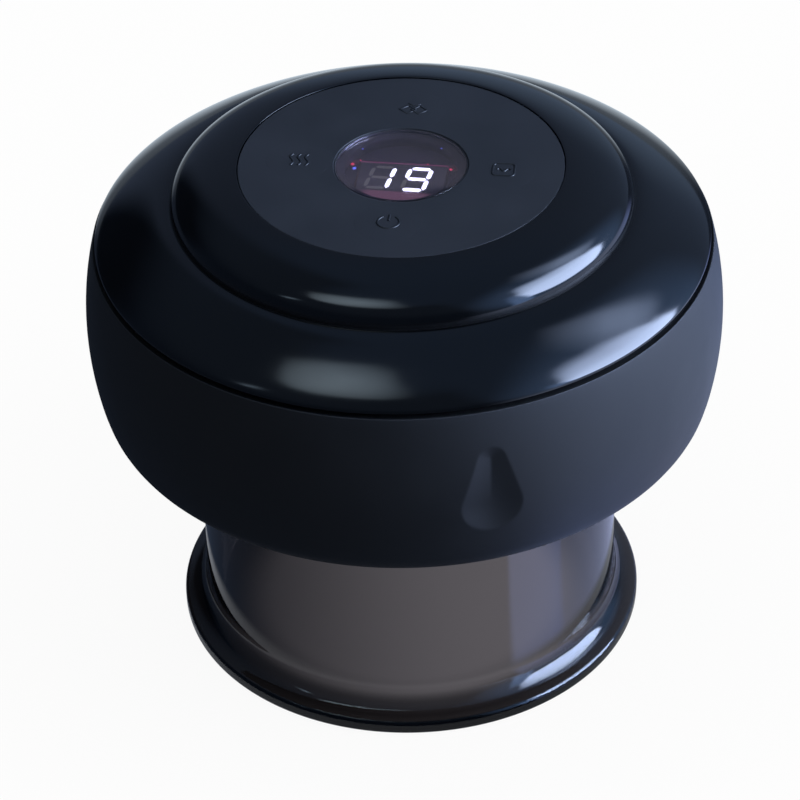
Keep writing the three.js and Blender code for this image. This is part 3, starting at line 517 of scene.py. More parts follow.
cup_height, neck_radius, cup_wall = 39.0, 30.3, 2.2
rim_radius, lip_height = 33.85, 2.1
bore = neck_radius - cup_wall


def noise(place, scale, detail, rough=0.5):
    """A cloudy value at a place."""
    return add(place.id_data, "ShaderNodeTexNoise", {
        "Vector": place, "Scale": scale, "Detail": detail, "Roughness": rough,
    }).outputs["Fac"]


def dented(height, depth, strength=1.0):
    """Small dents in a surface, up to a depth."""
    return add(height.id_data, "ShaderNodeBump", {
        "Height": height, "Distance": depth, "Strength": strength,
    })


def glassy(out, shadow, sockets):
    """Ends a material in clear plastic whose shadow lets light of one colour through."""
    tree = out.id_data
    glass = add(tree, "ShaderNodeBsdfPrincipled", {
        "IOR": 1.49, "Transmission Weight": 1.0, **sockets,
    })
    clear = add(tree, "ShaderNodeBsdfTransparent", {"Color": shadow})
    cast = add(tree, "ShaderNodeLightPath").outputs["Is Shadow Ray"]
    feed(out.inputs["Surface"], mixed(cast, glass, clear))


smoky, tree, out = bare_material("smoky_polycarbonate")
spot = place_in(tree)
haze = noise(spot, 55.0, 4.0, 0.5)
ripple = noise(spot, 90.0, 1.0)
glassy(out, (0.9, 0.9, 0.92), {
    "Base Color": blended(haze, (0.90, 0.89, 0.90), (0.97, 0.965, 0.97)),
    "Roughness": span(haze, 0.3, 0.7, 0.015, 0.05), "Normal": dented(ripple, 0.02 * mm, 0.6),
})
smoke = add(tree, "ShaderNodeVolumeAbsorption", {"Color": (0.42, 0.40, 0.42), "Density": 1500.0})
feed(out.inputs["Volume"], smoke)

cup_outline = outline([
    (bore + cup_wall, 0, 0.35), (rim_radius, 0, 0.7), (rim_radius, lip_height, 0.7),
    (neck_radius, lip_height + 1.1, 3.4), (neck_radius, cup_height, 0.5),
    (bore, cup_height, 0.5), (bore, 4.6, 4),
], 12)
cup = turned("smoky_cup", held(cup_outline), smoky, 256)
placed(cup, "suction_cup", "cup_smoke", "cup")


# Housing: the satin black bowl with a barrel belly, moulded in ABS. The cup's neck plugs into its
# mouth, thumb and finger rest in two drop-shaped dimples, and the charging slot is at the back.
def principled(out, sockets):
    """Ends a material in one Principled shader."""
    feed(out.inputs["Surface"], add(out.id_data, "ShaderNodeBsdfPrincipled", sockets))


def moulded(name, colour, roughness, grain=0.3, depth=0.004, patch=8.0, shade=0.12, uneven=0.05,
            **more):
    """Moulded plastic or the like: a fine grain, and colour and gloss that vary a little."""
    made, tree, out = bare_material(name)
    spot = place_in(tree)
    broad = noise(spot, 1000 / patch, 3.0)
    fine = noise(spot, 1000 / grain, 2.0)
    darker, lighter = ([min(c * k, 1) for c in colour] for k in (1 - shade, 1 + shade))
    gloss = (max(roughness - uneven, 0.01), min(roughness + uneven, 1))
    principled(out, {
        "Base Color": blended(broad, darker, lighter), "Roughness": span(broad, 0.3, 0.7, *gloss),
        "Normal": dented(fine, depth * mm), **more,
    })
    return made


satin_black = moulded("satin_black", (0.0024, 0.0031, 0.0046), 0.58, uneven=0.03)

mouth_z, corner_z, belt_z, rim_z = 33.0, 38.0, 51.5, 63.8
floor_z, floor_top = 39.3, 41.3
housing_wall = 2.4
body_radius, belly_bend = 45, 48
mouth_radius, collar_radius, port_bore = 30.8, 32.8, 2.7


def barrel(z):
    """The belly's radius at a height."""
    return body_radius - belly_bend + math.sqrt(belly_bend**2 - (z - belt_z) ** 2)


underside = math.atan2(corner_z - mouth_z, barrel(corner_z) - collar_radius)
under = housing_wall / math.cos(underside)
inner_corner = barrel(corner_z) - housing_wall
inner_corner_z = mouth_z + under + (inner_corner - collar_radius) * math.tan(underside)
belly = [*np.arange(41.5, 60.01, 0.25), 61, 62, 62.8]
housing = turned("belly_housing", outline([
    (port_bore, floor_z), (mouth_radius, floor_z, 0.3), (mouth_radius, mouth_z, 0.3),
    (collar_radius, mouth_z, 0.5), (barrel(corner_z), corner_z, 5),
    *[(barrel(z), z) for z in belly],
    (barrel(rim_z), rim_z, 0.12), (barrel(rim_z) - 0.7, rim_z - 0.4, 0.1),
    (barrel(rim_z) - housing_wall, rim_z - 0.4, 0.2),
    *[(barrel(z) - housing_wall, z) for z in (61, 58, 54, 50, 46, 43)],
    (inner_corner, inner_corner_z), (collar_radius, mouth_z + under),
    (collar_radius, floor_top), (port_bore, floor_top),
], 7), satin_black, 340)

# The columns crowd together at the two dimples, where the wall is pressed in: a drop with a round
# foot and a blunt tip, which is deepest at its foot.
dimple_z, dimple_depth, dimple_ease = 49.2, 0.75, 0.5
foot_round, tip_round, tip_rise = 3.75, 1.55, 7.4
dimple_reach, wall_slack = 8, 0.2
dimples = [math.radians(a) for a in (112, -68)]
co = np.empty(len(housing.data.vertices) * 3)
housing.data.vertices.foreach_get("co", co)
co = co.reshape(-1, 3) / mm
radius = np.hypot(co[:, 0], co[:, 1])
angle = np.arctan2(co[:, 1], co[:, 0])
shares = np.mod((angle - dimples[0]) / math.pi + 0.5, 1.0) - 0.5
crowded, narrow = 0.21, math.radians(9.5) / math.pi
crowded_ones = shares / crowded * narrow
spare = (np.abs(shares) - crowded) / (0.5 - crowded) * (0.5 - narrow)
others = np.sign(shares) * (narrow + spare)
angle = angle + (np.where(np.abs(shares) < crowded, crowded_ones, others) - shares) * math.pi
bend_share = np.clip(belly_bend**2 - (co[:, 2] - belt_z) ** 2, 0, None)
wall_radius = body_radius - belly_bend + np.sqrt(bend_share)
taper = (foot_round - tip_round) / tip_rise
flank = math.sqrt(1 - taper**2)
for at in dimples:
    u = np.abs(np.mod(angle - at + math.pi, math.tau) - math.pi) * body_radius
    v = co[:, 2] - dimple_z
    section = flank * v - taper * u
    inset = np.where(
        section < 0, foot_round - np.hypot(u, v),
        np.where(section > flank * tip_rise, tip_round - np.hypot(u, v - tip_rise),
                 foot_round - flank * u - taper * v))
    share = np.clip((inset + dimple_ease) / (foot_round + dimple_ease), 0, 1)
    pressed = (np.abs(radius - wall_radius) < wall_slack) & (u < dimple_reach)
    radius = np.where(pressed, radius - dimple_depth * np.sin(share * math.pi / 2), radius)
co[:, 0], co[:, 1] = radius * np.cos(angle), radius * np.sin(angle)
housing.data.vertices.foreach_set("co", (co * mm).ravel())
housing.data.update()


def cut_out(piece, *cutters):
    """Takes closed shapes out of a piece."""
    for cutter in cutters:
        modifier = piece.modifiers.new("cut", "BOOLEAN")
        modifier.operation = "DIFFERENCE"
        modifier.solver = "EXACT"
        modifier.object = cutter
    graph = bpy.context.evaluated_depsgraph_get()
    mesh = bpy.data.meshes.new_from_object(piece.evaluated_get(graph), depsgraph=graph)
    piece.modifiers.clear()
    piece.data = mesh
    for cutter in cutters:
        bpy.data.objects.remove(cutter)


def outward(piece):
    """Turns a closed mesh's faces outwards."""
    bm = bmesh.new()
    bm.from_mesh(piece.data)
    bmesh.ops.recalc_face_normals(bm, faces=bm.faces)
    bm.to_mesh(piece.data)
    bm.free()
    return piece


def prism_faces(count, first=0):
    """The faces of a prism whose lower ring of corners comes before its upper one."""
    lower, upper = range(first, first + count), range(first + count, first + 2 * count)
    following = [(k + 1) % count for k in range(count)]
    sides = [(lower[k], lower[n], upper[n], upper[k]) for k, n in enumerate(following)]
    return [tuple(lower)[::-1], tuple(upper), *sides]


def slot_ring(width, height, steps=10):
    """The points (x, z) round a slot with round ends."""
    flat = width / 2 - height / 2
    turns = [math.pi / 2 * (1 - 2 * k / steps) for k in range(steps + 1)]
    right = [(flat + height / 2 * math.cos(t), height / 2 * math.sin(t)) for t in turns]
    return right + [(-x, -z) for x, z in right]


def slot_bar(name, width, height, y0, y1, z, finish=None):
    """A solid bar with the slot's section, along Y."""
    ring = slot_ring(width, height)
    corners = [(x * mm, y * mm, (z + dz) * mm) for y in (y0, y1) for x, dz in ring]
    return outward(mesh_object(name, corners, prism_faces(len(ring)), finish))


socket_z = 52.85
cut_out(housing, slot_bar("slot_cutter", 9.5, 3.8, 40, 48, socket_z))
placed(housing, "main_unit", "housing_black", "housing")

# Charging socket: a drawn steel shell with a tongue and its contacts, soldered to a small board
# and looking out of the slot in the housing's back.
bright_steel = moulded("bright_steel", (0.60, 0.60, 0.61), 0.28, grain=0.4, depth=0.002,
                       Metallic=1.0)
gold_plate = moulded("gold_plate", (0.83, 0.58, 0.24), 0.25, grain=0.4, depth=0.001, Metallic=1.0)
tongue_black = moulded("tongue_black", (0.012, 0.012, 0.013), 0.45)
fibre_board = moulded("green_fibre_board", (0.01, 0.09, 0.05), 0.42, grain=0.5, depth=0.006)


def dress(finish, *nodes):
    """Gives CAD pieces their finish."""
    for node in nodes:
        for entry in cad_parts[node].material_slots:
            entry.material = finish


dress(fibre_board, "charging_board")
socket_front, socket_back = 44.2, 34.2
shell = slot_bar("socket_shell", 8.9, 3.2, socket_back, socket_front, socket_z, bright_steel)
cut_out(shell, slot_bar("shell_bore", 8.3, 2.6, socket_back + 1.2, socket_front + 1, socket_z))
placed(shell, "main_unit", "steel", "charging_socket")


def bevelled_box(name, low, high, round_off, finish):
    """A block with rounded edges, from its lowest and highest corner in millimetres."""
    low, high = Vector(low) * mm, Vector(high) * mm
    bm = bmesh.new()
    size = Matrix.Diagonal((*(high - low), 1))
    bmesh.ops.create_cube(bm, size=1, matrix=Matrix.Translation((low + high) / 2) @ size)
    bmesh.ops.bevel(bm, geom=bm.edges[:], offset=round_off * mm, segments=3, profile=0.5,
                    affect="EDGES")
    made = mesh_object(name, [], [], finish)
    bm.to_mesh(made.data)
    bm.free()
    return made


tongue = bevelled_box("socket_tongue", (-3.2, socket_back + 1.0, socket_z - 0.36),
                      (3.2, socket_front - 1.6, socket_z + 0.36), 0.12, tongue_black)
placed(tongue, "main_unit", "housing_black")

# Twelve contacts on each side of the tongue, repeated along it.
row_form, given, out = geometry_tree("Row", Count="Int", Step="Vector", Material="Material")
line = add(row_form, "GeometryNodeMeshLine", {"Count": given["Count"], "Offset": given["Step"]})
copies = add(row_form, "GeometryNodeInstanceOnPoints", {
    "Points": line, "Instance": given["Geometry"],
})
real_form(row_form, copies, given, out)
contact_x, contact_wide, contact_step = -2.86, 0.26, 0.498
ends = (37.0, socket_front - 1.8)
strip = [
    ((contact_x + x) * mm, ends[end] * mm, (socket_z + side * z) * mm)
    for side in (-1, 1) for z in (0.3, 0.4)
    for x, end in ((0, 0), (contact_wide, 0), (contact_wide, 1), (0, 1))
]
contacts = grown(row_form, "socket_contacts", strip, [], prism_faces(4) + prism_faces(4, 8),
                 Count=12, Step=(contact_step * mm, 0, 0), Material=gold_plate)
placed(outward(contacts), "main_unit", "steel")

# Suction plate: a black disc that plugs into the cup's neck. It holds the lamps under a frosted
# ring, the steel heater ring and the filter over the air port, and a rubber cord seals its edge.
matt_black = moulded("matt_black", (0.010, 0.011, 0.014), 0.6, depth=0.005)
soft_rubber = moulded("soft_rubber", (0.012, 0.012, 0.014), 0.8, depth=0.008)
dress(matt_black, "suction_plate")
low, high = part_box("cup_seal")
cord_round, cord_z = (high.z - low.z) / 2 / mm, (high.z + low.z) / 2 / mm
seal = turned("cup_seal_cord", [
    (high.x / mm - cord_round + cord_round * math.cos(t), cord_z + cord_round * math.sin(t))
    for t in (math.tau * k / 20 for k in range(20))
], soft_rubber, 160)
placed(seal, "main_unit", "black_rubber", "cup_seal")

# Light ring: a frosted plastic ring that closes the suction plate's lamp groove. Behind it lie four
# red lamps on a white board. The lamps' light through the ring is painted on it: over each lamp the
# ring glows and is lighter and redder, with a bright painted spot above each lamp.
def radial(parts):
    """The distance from the upright axis, from a place's parts."""
    flat = add(parts["X"].id_data, "ShaderNodeCombineXYZ", {"X": parts["X"], "Y": parts["Y"]})
    return vector_sum("LENGTH", flat.outputs[0])


ring_inner, ring_outer, ring_under, ring_over = 13.8, 20.6, 34.58, 35.75
lamp_circle = 17.2
frosted, tree, out = bare_material("frosted_ring")
spot = place_in(tree)
parts = parts_of(spot)
turn = reckon("ARCTAN2", parts["Y"], parts["X"])
painted_lamp_glow = reckon("POWER", reckon("ABSOLUTE", reckon("SINE", times(turn, 2))), 30)
off_circle = reckon("ABSOLUTE", reckon("SUBTRACT", radial(parts), lamp_circle * mm))
painted_lamp_spot = times(reckon("POWER", painted_lamp_glow, 8), spread(off_circle, 0.6 * mm, 0.3 * mm))
sand = noise(spot, 3000.0, 2.0)
# Painted light: over each lamp there is a glow, a lighter and redder colour and a bright spot.
principled(out, {
    "Base Color": blended(painted_lamp_glow, (0.50, 0.36, 0.34), (0.70, 0.42, 0.36)),
    "Roughness": plus(0.4, times(sand, 0.25)), "Normal": dented(sand, 0.01 * mm),
    "Emission Color": (1.0, 0.16, 0.05),
    "Emission Strength": plus(times(painted_lamp_spot, 30.0), plus(0.05, times(painted_lamp_glow, 3.0))),
})
light_ring = turned("frosted_light_ring", outline([
    (ring_inner, ring_under, 0.2), (ring_outer, ring_under, 0.2),
    (ring_outer, ring_over, 0.1), (ring_inner, ring_over, 0.1),
], 5), frosted, 160)
placed(light_ring, "main_unit", "ring_frosted", "light_ring")


def glowing(name, colour, strength, body=(0.2, 0.2, 0.2), mottle=0.15):
    """A lit surface whose light varies a little over it."""
    made, tree, out = bare_material(name)
    cloud = noise(place_in(tree), 1500.0, 2.0)
    principled(out, {
        "Base Color": body, "Roughness": 0.5, "Emission Color": colour,
        "Emission Strength": span(cloud, 0, 1, strength * (1 - mottle), strength * (1 + mottle)),
    })
    return made


lamp_glow = glowing("lamp_glow", (1.0, 0.20, 0.05), 9.0, (0.3, 0.05, 0.03))
dress(lamp_glow, "red_lamp_1", "red_lamp_2", "red_lamp_3", "red_lamp_4")
white_board = moulded("white_board", (0.70, 0.71, 0.70), 0.38, grain=0.5)
dress(white_board, "lamp_board")

# Heater: a turned steel ring with the lathe's fine rings on it, pressed into a shallow groove in
# the suction plate's face, where it warms the skin in the cup.
turned_steel, tree, out = bare_material("turned_steel")
spot = place_in(tree)
rings = add(tree, "ShaderNodeTexNoise", {
    "W": times(radial(parts_of(spot)), 9000.0), "Scale": 1.0, "Detail": 2.0,
}, noise_dimensions="1D").outputs["Fac"]
principled(out, {
    "Base Color": blended(rings, (0.50, 0.49, 0.48), (0.64, 0.63, 0.62)), "Metallic": 1.0,
    "Roughness": plus(0.2, times(rings, 0.15)), "Normal": dented(rings, 0.006 * mm),
})
heater_inner, heater_outer, heater_under, heater_over = 6.8, 12.2, 34.55, 35.4
heater = turned("heater_ring", outline([
    (heater_inner, heater_under, 0.2), (heater_outer, heater_under, 0.3),
    (heater_outer, heater_over, 0.1), (heater_inner, heater_over, 0.1),
], 5), turned_steel, 128)
placed(heater, "main_unit", "steel", "heater_plate")

# Port filter: a disc of woven steel gauze held in a rolled rim. It is pressed into the middle of
# the suction plate, over the air port, and keeps skin oil from the pump.
stroke_form, given, out = geometry_tree("Stroke", Width="Float", Material="Material")
lines = add(stroke_form, "GeometryNodeMeshToCurve", {"Mesh": given["Geometry"]})
half_width = times(given["Width"], 0.5)
section = add(stroke_form, "GeometryNodeCurvePrimitiveCircle", {
    "Resolution": 10, "Radius": half_width,
})
swept = add(stroke_form, "GeometryNodeCurveToMesh", {
    "Curve": lines, "Profile Curve": section, "Fill Caps": True,
})
smooth = add(stroke_form, "GeometryNodeSetShadeSmooth", {"Geometry": swept})
real_form(stroke_form, smooth, given, out)


def strokes(name, lines, width, finish):
    """Round strokes or wires along lines of (x, y, z)."""
    corners, edges = [], []
    for line in lines:
        first = len(corners)
        corners += [(x * mm, y * mm, z * mm) for x, y, z in line]
        edges += [(first + i, first + i + 1) for i in range(len(line) - 1)]
    return grown(stroke_form, name, corners, edges, [], Width=width * mm, Material=finish)


filter_low, filter_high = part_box("port_filter")
filter_under, filter_over = filter_low.z / mm, filter_high.z / mm
gauze_radius, gauze_z, gauze_step = filter_high.x / mm - 0.45, filter_under + 0.35, 0.62
wires = []
for turned_by in (0, 1):
    for k in range(-7, 8):
        across_by = k * gauze_step
        reach = math.sqrt(max(gauze_radius**2 - across_by**2, 0))
        count = max(int(reach / gauze_step * 4), 4)
        line = []
        for i in range(count + 1):
            run = -reach + 2 * reach * i / count
            lift = 0.09 * math.cos(math.pi * run / gauze_step) * (1 if (k + turned_by) % 2 else -1)
            place = (run, across_by) if turned_by else (across_by, run)
            line.append((*place, gauze_z + lift))
        wires.append(line)
gauze = strokes("filter_gauze", wires, 0.2, bright_steel)
placed(gauze, "main_unit", "steel", "port_filter")
rim = turned("filter_rim", outline([
    (gauze_radius - 0.25, filter_under, 0.15), (gauze_radius + 0.45, filter_under, 0.15),
    (gauze_radius + 0.45, filter_over, 0.15), (gauze_radius - 0.25, filter_over, 0.15),
], 4), bright_steel, 96)
placed(rim, "main_unit", "steel")

# Screws: cross-head screws of plated steel. Three hold the suction plate up against the housing's
# floor, two the control board, two the pump's layers, and one the strap over the pump.
screw_form, given, out = geometry_tree("Screws", Screw="Object", Material="Material")
points = add(screw_form, "GeometryNodeMeshToPoints", {"Mesh": given["Geometry"]})
one = add(screw_form, "GeometryNodeObjectInfo", {"Object": given["Screw"]})
heading = add(screw_form, "GeometryNodeInputNamedAttribute", {"Name": "heading"},
              data_type="FLOAT_VECTOR").outputs["Attribute"]
aimed = add(screw_form, "FunctionNodeAlignRotationToVector", {"Vector": heading}, axis="Z")
copies = add(screw_form, "GeometryNodeInstanceOnPoints", {
    "Points": points, "Instance": one.outputs["Geometry"], "Rotation": aimed,
})
real_form(screw_form, copies, given, out)
head_radius, head_high, shank_radius = 1.6, 1.1, 0.9


def driven(name, heading, *nodes):
    """Screws in place of CAD screws, all with their points towards heading."""
    heading = Vector(heading)
    boxes = [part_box(node) for node in nodes]
    length = abs((boxes[0][1] - boxes[0][0]).dot(heading)) / mm
    one = turned("one_screw", outline([
        (0, 0), (head_radius, 0, 0.35), (head_radius, head_high, 0.1),
        (shank_radius, head_high, 0.1), (shank_radius, length - 0.8), (0.15, length), (0, length),
    ], 4), bright_steel, 40)
    cut_out(one, *(
        bevelled_box("recess", (-x, -y, -0.5), (x, y, 0.6), 0.08, bright_steel)
        for x, y in ((0.95, 0.2), (0.2, 0.95))
    ))
    starts = [(low + high) / 2 - heading * length / 2 * mm for low, high in boxes]
    mesh = bpy.data.meshes.new("screw_places")
    mesh.from_pydata([tuple(start) for start in starts], [], [])
    ways = mesh.attributes.new("heading", "FLOAT_VECTOR", "POINT")
    ways.data.foreach_set("vector", [c for _ in starts for c in heading])
    made = grown(screw_form, name, mesh, None, None, Screw=one, Material=bright_steel)
    bpy.data.objects.remove(one)
    placed(made, "main_unit", "steel", *nodes)


driven("plate_screws", (0, 0, 1), "plate_screw_1", "plate_screw_2", "plate_screw_3")
driven("board_screws", (0, 0, 1), "board_screw_1", "board_screw_2")
driven("pump_screws", (-1, 0, 0), "pump_screw_1", "pump_screw_2")
driven("strap_screw_head", (0, 0, -1), "strap_screw")

# Pump, valve and cell on their grey tray: a round motor with a crank and a rubber diaphragm under
# a black head, a solenoid valve with a copper coil, silicone tubes, and a wrapped cell.
grey_nylon = moulded("grey_nylon", (0.08, 0.085, 0.095), 0.55, grain=0.4, depth=0.006)
white_nylon = moulded("white_nylon", (0.68, 0.68, 0.66), 0.5, grain=0.4, depth=0.006, shade=0.05)
can_steel = moulded("can_steel", (0.52, 0.52, 0.54), 0.33, grain=0.6, Metallic=1.0)
brass = moulded("turned_brass", (0.70, 0.50, 0.20), 0.3, grain=0.5, depth=0.003, Metallic=1.0)
glass_nylon = moulded("glass_nylon", (0.014, 0.014, 0.016), 0.5, grain=0.5, depth=0.012)
blue_wrap = moulded("blue_wrap", (0.012, 0.07, 0.24), 0.3, grain=1.5, depth=0.01, patch=5.0)
milky_silicone = moulded("milky_silicone", (0.80, 0.80, 0.77), 0.35, grain=1.0, depth=0.003,
                         shade=0.04, **{"Transmission Weight": 0.55, "IOR": 1.41})

copper_coil, tree, out = bare_material("copper_coil")
wound = add(tree, "ShaderNodeTexWave", {
    "Vector": place_in(tree), "Scale": 600.0, "Distortion": 0.6, "Detail": 1.0,
}, wave_type="BANDS", bands_direction="Z").outputs["Fac"]
principled(out, {
    "Base Color": blended(wound, (0.20, 0.06, 0.02), (0.62, 0.26, 0.10)), "Metallic": 1.0,
    "Roughness": plus(0.25, times(wound, 0.15)), "Normal": dented(wound, 0.05 * mm),
})

# Valve spring: a coil of steel wire that stands on the valve's plug and presses it down onto its
# seat.
low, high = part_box("valve_spring")
middle = (low + high) / 2 / mm
wire, coil_radius, coil_turns = 0.5, 1.9, 3
bottom, top = low.z / mm + wire / 2, high.z / mm - wire / 2
coil = []
for k in range(coil_turns * 24 + 1):
    t = math.tau * k / 24
    coil.append((middle.x + coil_radius * math.cos(t), middle.y + coil_radius * math.sin(t),
                 bottom + (top - bottom) * k / (coil_turns * 24)))
spring = strokes("return_spring", [coil], wire, bright_steel)
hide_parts("valve_spring")
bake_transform(spring)

for finish, nodes in (
    (grey_nylon, ("chassis",)),
    (can_steel, ("pump_motor", "pump_strap")),
    (bright_steel, ("motor_shaft", "valve_plug")),
    (brass, ("pump_crank",)),
    (glass_nylon, ("crank_chamber", "pump_head")),
    (soft_rubber, ("pump_diaphragm",)),
    (white_nylon, ("wobble_plate", "valve_seat_block", "tee_connector")),
    (copper_coil, ("valve_coil_frame",)),
    (milky_silicone, ("port_sleeve", "valve_tube", "pump_tube")),
    (blue_wrap, ("battery_cell",)),
    (fibre_board, ("control_board",)),
):
    dress(finish, *nodes)

# Top cover: glossy black, with a raised plateau, a crease and a rolled ring outside it. It snaps
# onto the housing by its skirt, and the keypad lies in its recess.
piano_black, tree, out = bare_material("piano_black")
spot = place_in(tree)
parts = parts_of(spot)
smear = noise(spot, 60.0, 5.0, 0.6)
sway = noise(spot, 38.0, 1.0)
gloss = span(smear, 0.35, 0.7, 0.08, 0.13)
crease = times(spread(parts["Z"], 70.95 * mm, 70.4 * mm),
               spread(radial(parts), 32.7 * mm, 32.3 * mm))
principled(out, {
    "Base Color": blended(smear, (0.0008, 0.0010, 0.0016), (0.0013, 0.0016, 0.0025)), "IOR": 1.5,
    "Roughness": plus(gloss, times(crease, 0.3)), "Normal": dented(sway, 0.02 * mm, 0.5),
})

recess_radius, recess_z, plateau_z, cover_floor_z = 22.7, 73.55, 75.1, 72.3
cover_radius, cover_z = 42.98, 64.15
skirt_radius, skirt_inner, skirt_z = 40.4, 39.0, cover_z - 3.5
window_radius = 8.1


def bend(p0, p1, p2, p3, steps=40):
    """Points along a curve from its four control points."""
    result = []
    for s in (k / steps for k in range(steps + 1)):
        weights = ((1 - s) ** 3, 3 * s * (1 - s) ** 2, 3 * s * s * (1 - s), s**3)
        result.append(tuple(np.array(weights) @ np.array((p0, p1, p2, p3))))
    return result


shoulder = bend((22.85, plateau_z), (23.53, plateau_z), (31.79, 73.95), (32.114, 70.45))
ring = bend((32.4, 70.12), (35.35, 70.02), (42.1, 66.03), (cover_radius, 64.6))
inner_shoulder = bend((22.85, cover_floor_z), (23.4, cover_floor_z), (29.9, 71.95),
                      (30.114, 68.45), 10)
inner_ring = bend((31.555, 68.1), (33.0, 68.1), (38.6, 65.8), (39.2, 64.7), 10)
cover = turned("gloss_cover", held(outline([
    (window_radius, recess_z, 0.1), (recess_radius, recess_z, 0.15),
    (recess_radius, plateau_z, 0.06), *shoulder[2:], (32.15, 70.08), *ring,
    (cover_radius - 0.04, 64.3), (cover_radius - 0.3, cover_z),
    (40.64, cover_z, 0.2), (skirt_radius, skirt_z, 0.3), (skirt_inner, skirt_z, 0.3),
    *inner_ring[::-1], *inner_shoulder[::-1], (window_radius, cover_floor_z, 0.1),
], 5)), piano_black, 288)
cover.data.set_sharp_from_angle(angle=math.radians(50))
placed(cover, "main_unit", "cover_black", "top_cover")

# Keypad overlay: a soft matt film glued into the recess, with a window in the middle. Over each
# of the four keys the film is thin, so that a finger can push it in.
slate_film = moulded("slate_film", (0.0052, 0.0079, 0.0138), 0.58, grain=0.22, depth=0.003,
                     uneven=0.04)
overlay_z, panel_z = 73.7, 75.0
film_radius, film_hole = 22.6, 9.32
key_circle, pad_radius = 14.2, 4.6
keys = (("mode", 0), ("suction", 90), ("heat", 180), ("power", 270))
key_places = {
    name: (key_circle * math.cos(math.radians(a)), key_circle * math.sin(math.radians(a)))
    for name, a in keys
}


def ring_of(radius, z, x=0.0, y=0.0, sides=96):
    """The points of a level circle."""
    turns = [math.tau * k / sides for k in range(sides)]
    return [(x + radius * math.cos(t), y + radius * math.sin(t), z) for t in turns]


def film_sheet(name, walls, finish):
    """A flat sheet from its walls, the outer one first; a wall is its rings from the bottom up."""
    bm = bmesh.new()
    ends = ([], [])
    for wall in walls:
        rings = [[bm.verts.new([c * mm for c in point]) for point in ring] for ring in wall]
        count = len(rings[0])
        for low, high in zip(rings, rings[1:]):
            for i in range(count):
                bm.faces.new((low[i - 1], low[i], high[i], high[i - 1])).smooth = True
        for end, ring in zip(ends, (rings[0], rings[-1])):
            end.extend(bm.edges.get((ring[i - 1], ring[i])) for i in range(count))
    for end, up in zip(ends, (-1, 1)):
        bmesh.ops.triangle_fill(bm, edges=end, use_beauty=True, normal=(0, 0, up))
    bmesh.ops.recalc_face_normals(bm, faces=bm.faces)
    made = mesh_object(name, [], [], finish)
    bm.to_mesh(made.data)
    bm.free()
    return made


overlay = film_sheet("keypad_film", [
    [ring_of(r, z, sides=256) for r, z in (
        (22.55, overlay_z), (film_radius, overlay_z + 0.05), (film_radius, panel_z - 0.12),
        (22.57, panel_z - 0.04), (22.49, panel_z))],
    [ring_of(r, z, sides=160) for r, z in (
        (film_hole, overlay_z), (film_hole, panel_z - 0.1), (9.35, panel_z - 0.03),
        (9.42, panel_z))],
    *[[ring_of(pad_radius, z, *place) for z in (overlay_z, panel_z)]
      for place in key_places.values()],
], slate_film)
placed(overlay, "main_unit", "overlay_slate", "keypad_overlay")

# Key spots: the thin, faintly raised parts of the film over the four keys. They are soft.
pad_rise, pad_flat = 0.01, 3.3
for name, (x, y) in key_places.items():
    steps = [(pad_flat + (pad_radius - pad_flat) * k / 10,
              panel_z + pad_rise * (1 + math.cos(math.pi * k / 10)) / 2) for k in range(11)]
    pad = turned("key_spot_" + name, [
        (0, panel_z + pad_rise), (pad_flat * 0.5, panel_z + pad_rise), *steps[:-1],
        (pad_radius - 0.01, panel_z), (pad_radius, panel_z - 0.001), (pad_radius, panel_z - 0.02),
        (pad_radius, panel_z - 0.5), (0, panel_z - 0.5),
    ], slate_film, 96, x, y)
    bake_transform(pad)

# Key symbols: thin glossy strokes that stand proud of the film, one sign on each key: a wave in
# a frame for the mode, two diamonds for suction, rising heat, and the standby sign for power.
def arc(radius, start, end, x=0.0, y=0.0, steps=24):
    """Points on an arc, its angles in degrees."""
    turns = [math.radians(start + (end - start) * k / steps) for k in range(steps + 1)]
    return [(x + radius * math.cos(t), y + radius * math.sin(t)) for t in turns]


sign_gloss = moulded("sign_gloss", (0.0018, 0.0026, 0.0042), 0.40, depth=0.002)
frame_side, frame_round = 1.5, 0.6
frame_line = []
for cx, cy, start in ((1, 1, 0), (-1, 1, 90), (-1, -1, 180), (1, -1, 270)):
    inset = frame_side - frame_round
    frame_line += arc(frame_round, start, start + 90, cx * inset, cy * inset, 6)
wave = [(-0.95 + 1.9 * k / 24, 0.38 * math.sin(math.tau * 1.5 * k / 24)) for k in range(25)]
diamond = [(0, 1.05), (1.15, 0), (0, -1.05), (-1.15, 0), (0, 1.05)]
signs = {
    "mode": [frame_line + frame_line[:1], wave],
    "suction": [*([(x + dx, y) for x, y in diamond] for dx in (-0.8, 0.8)),
                [(-0.8, 1.6), (0, 0.95), (0.8, 1.6)]],
    "heat": [[(dx + 0.28 * math.sin(math.tau * k / 20), -1.35 + 2.7 * k / 20) for k in range(21)]
             for dx in (-1.05, 0, 1.05)],
    "power": [arc(1.5, 124, 416), [(0, 0.25), (0, 1.75)]],
}
for name, (x, y) in key_places.items():
    level = panel_z + pad_rise - 0.12
    lines = [[(x + px, y + py, level) for px, py in line] for line in signs[name]]
    sign = strokes("sign_" + name, lines, 0.42, sign_gloss)
    placed(sign, name + "_key", "overlay_slate")

# Key plungers and tact switches, under the film: moulded nylon pegs that stand on the rubber
# buttons of four small steel switches.
for name, _ in keys:
    dress(grey_nylon, "key_" + name)
    dress(bright_steel, "switch_" + name)
    dress(soft_rubber, "switch_button_" + name)

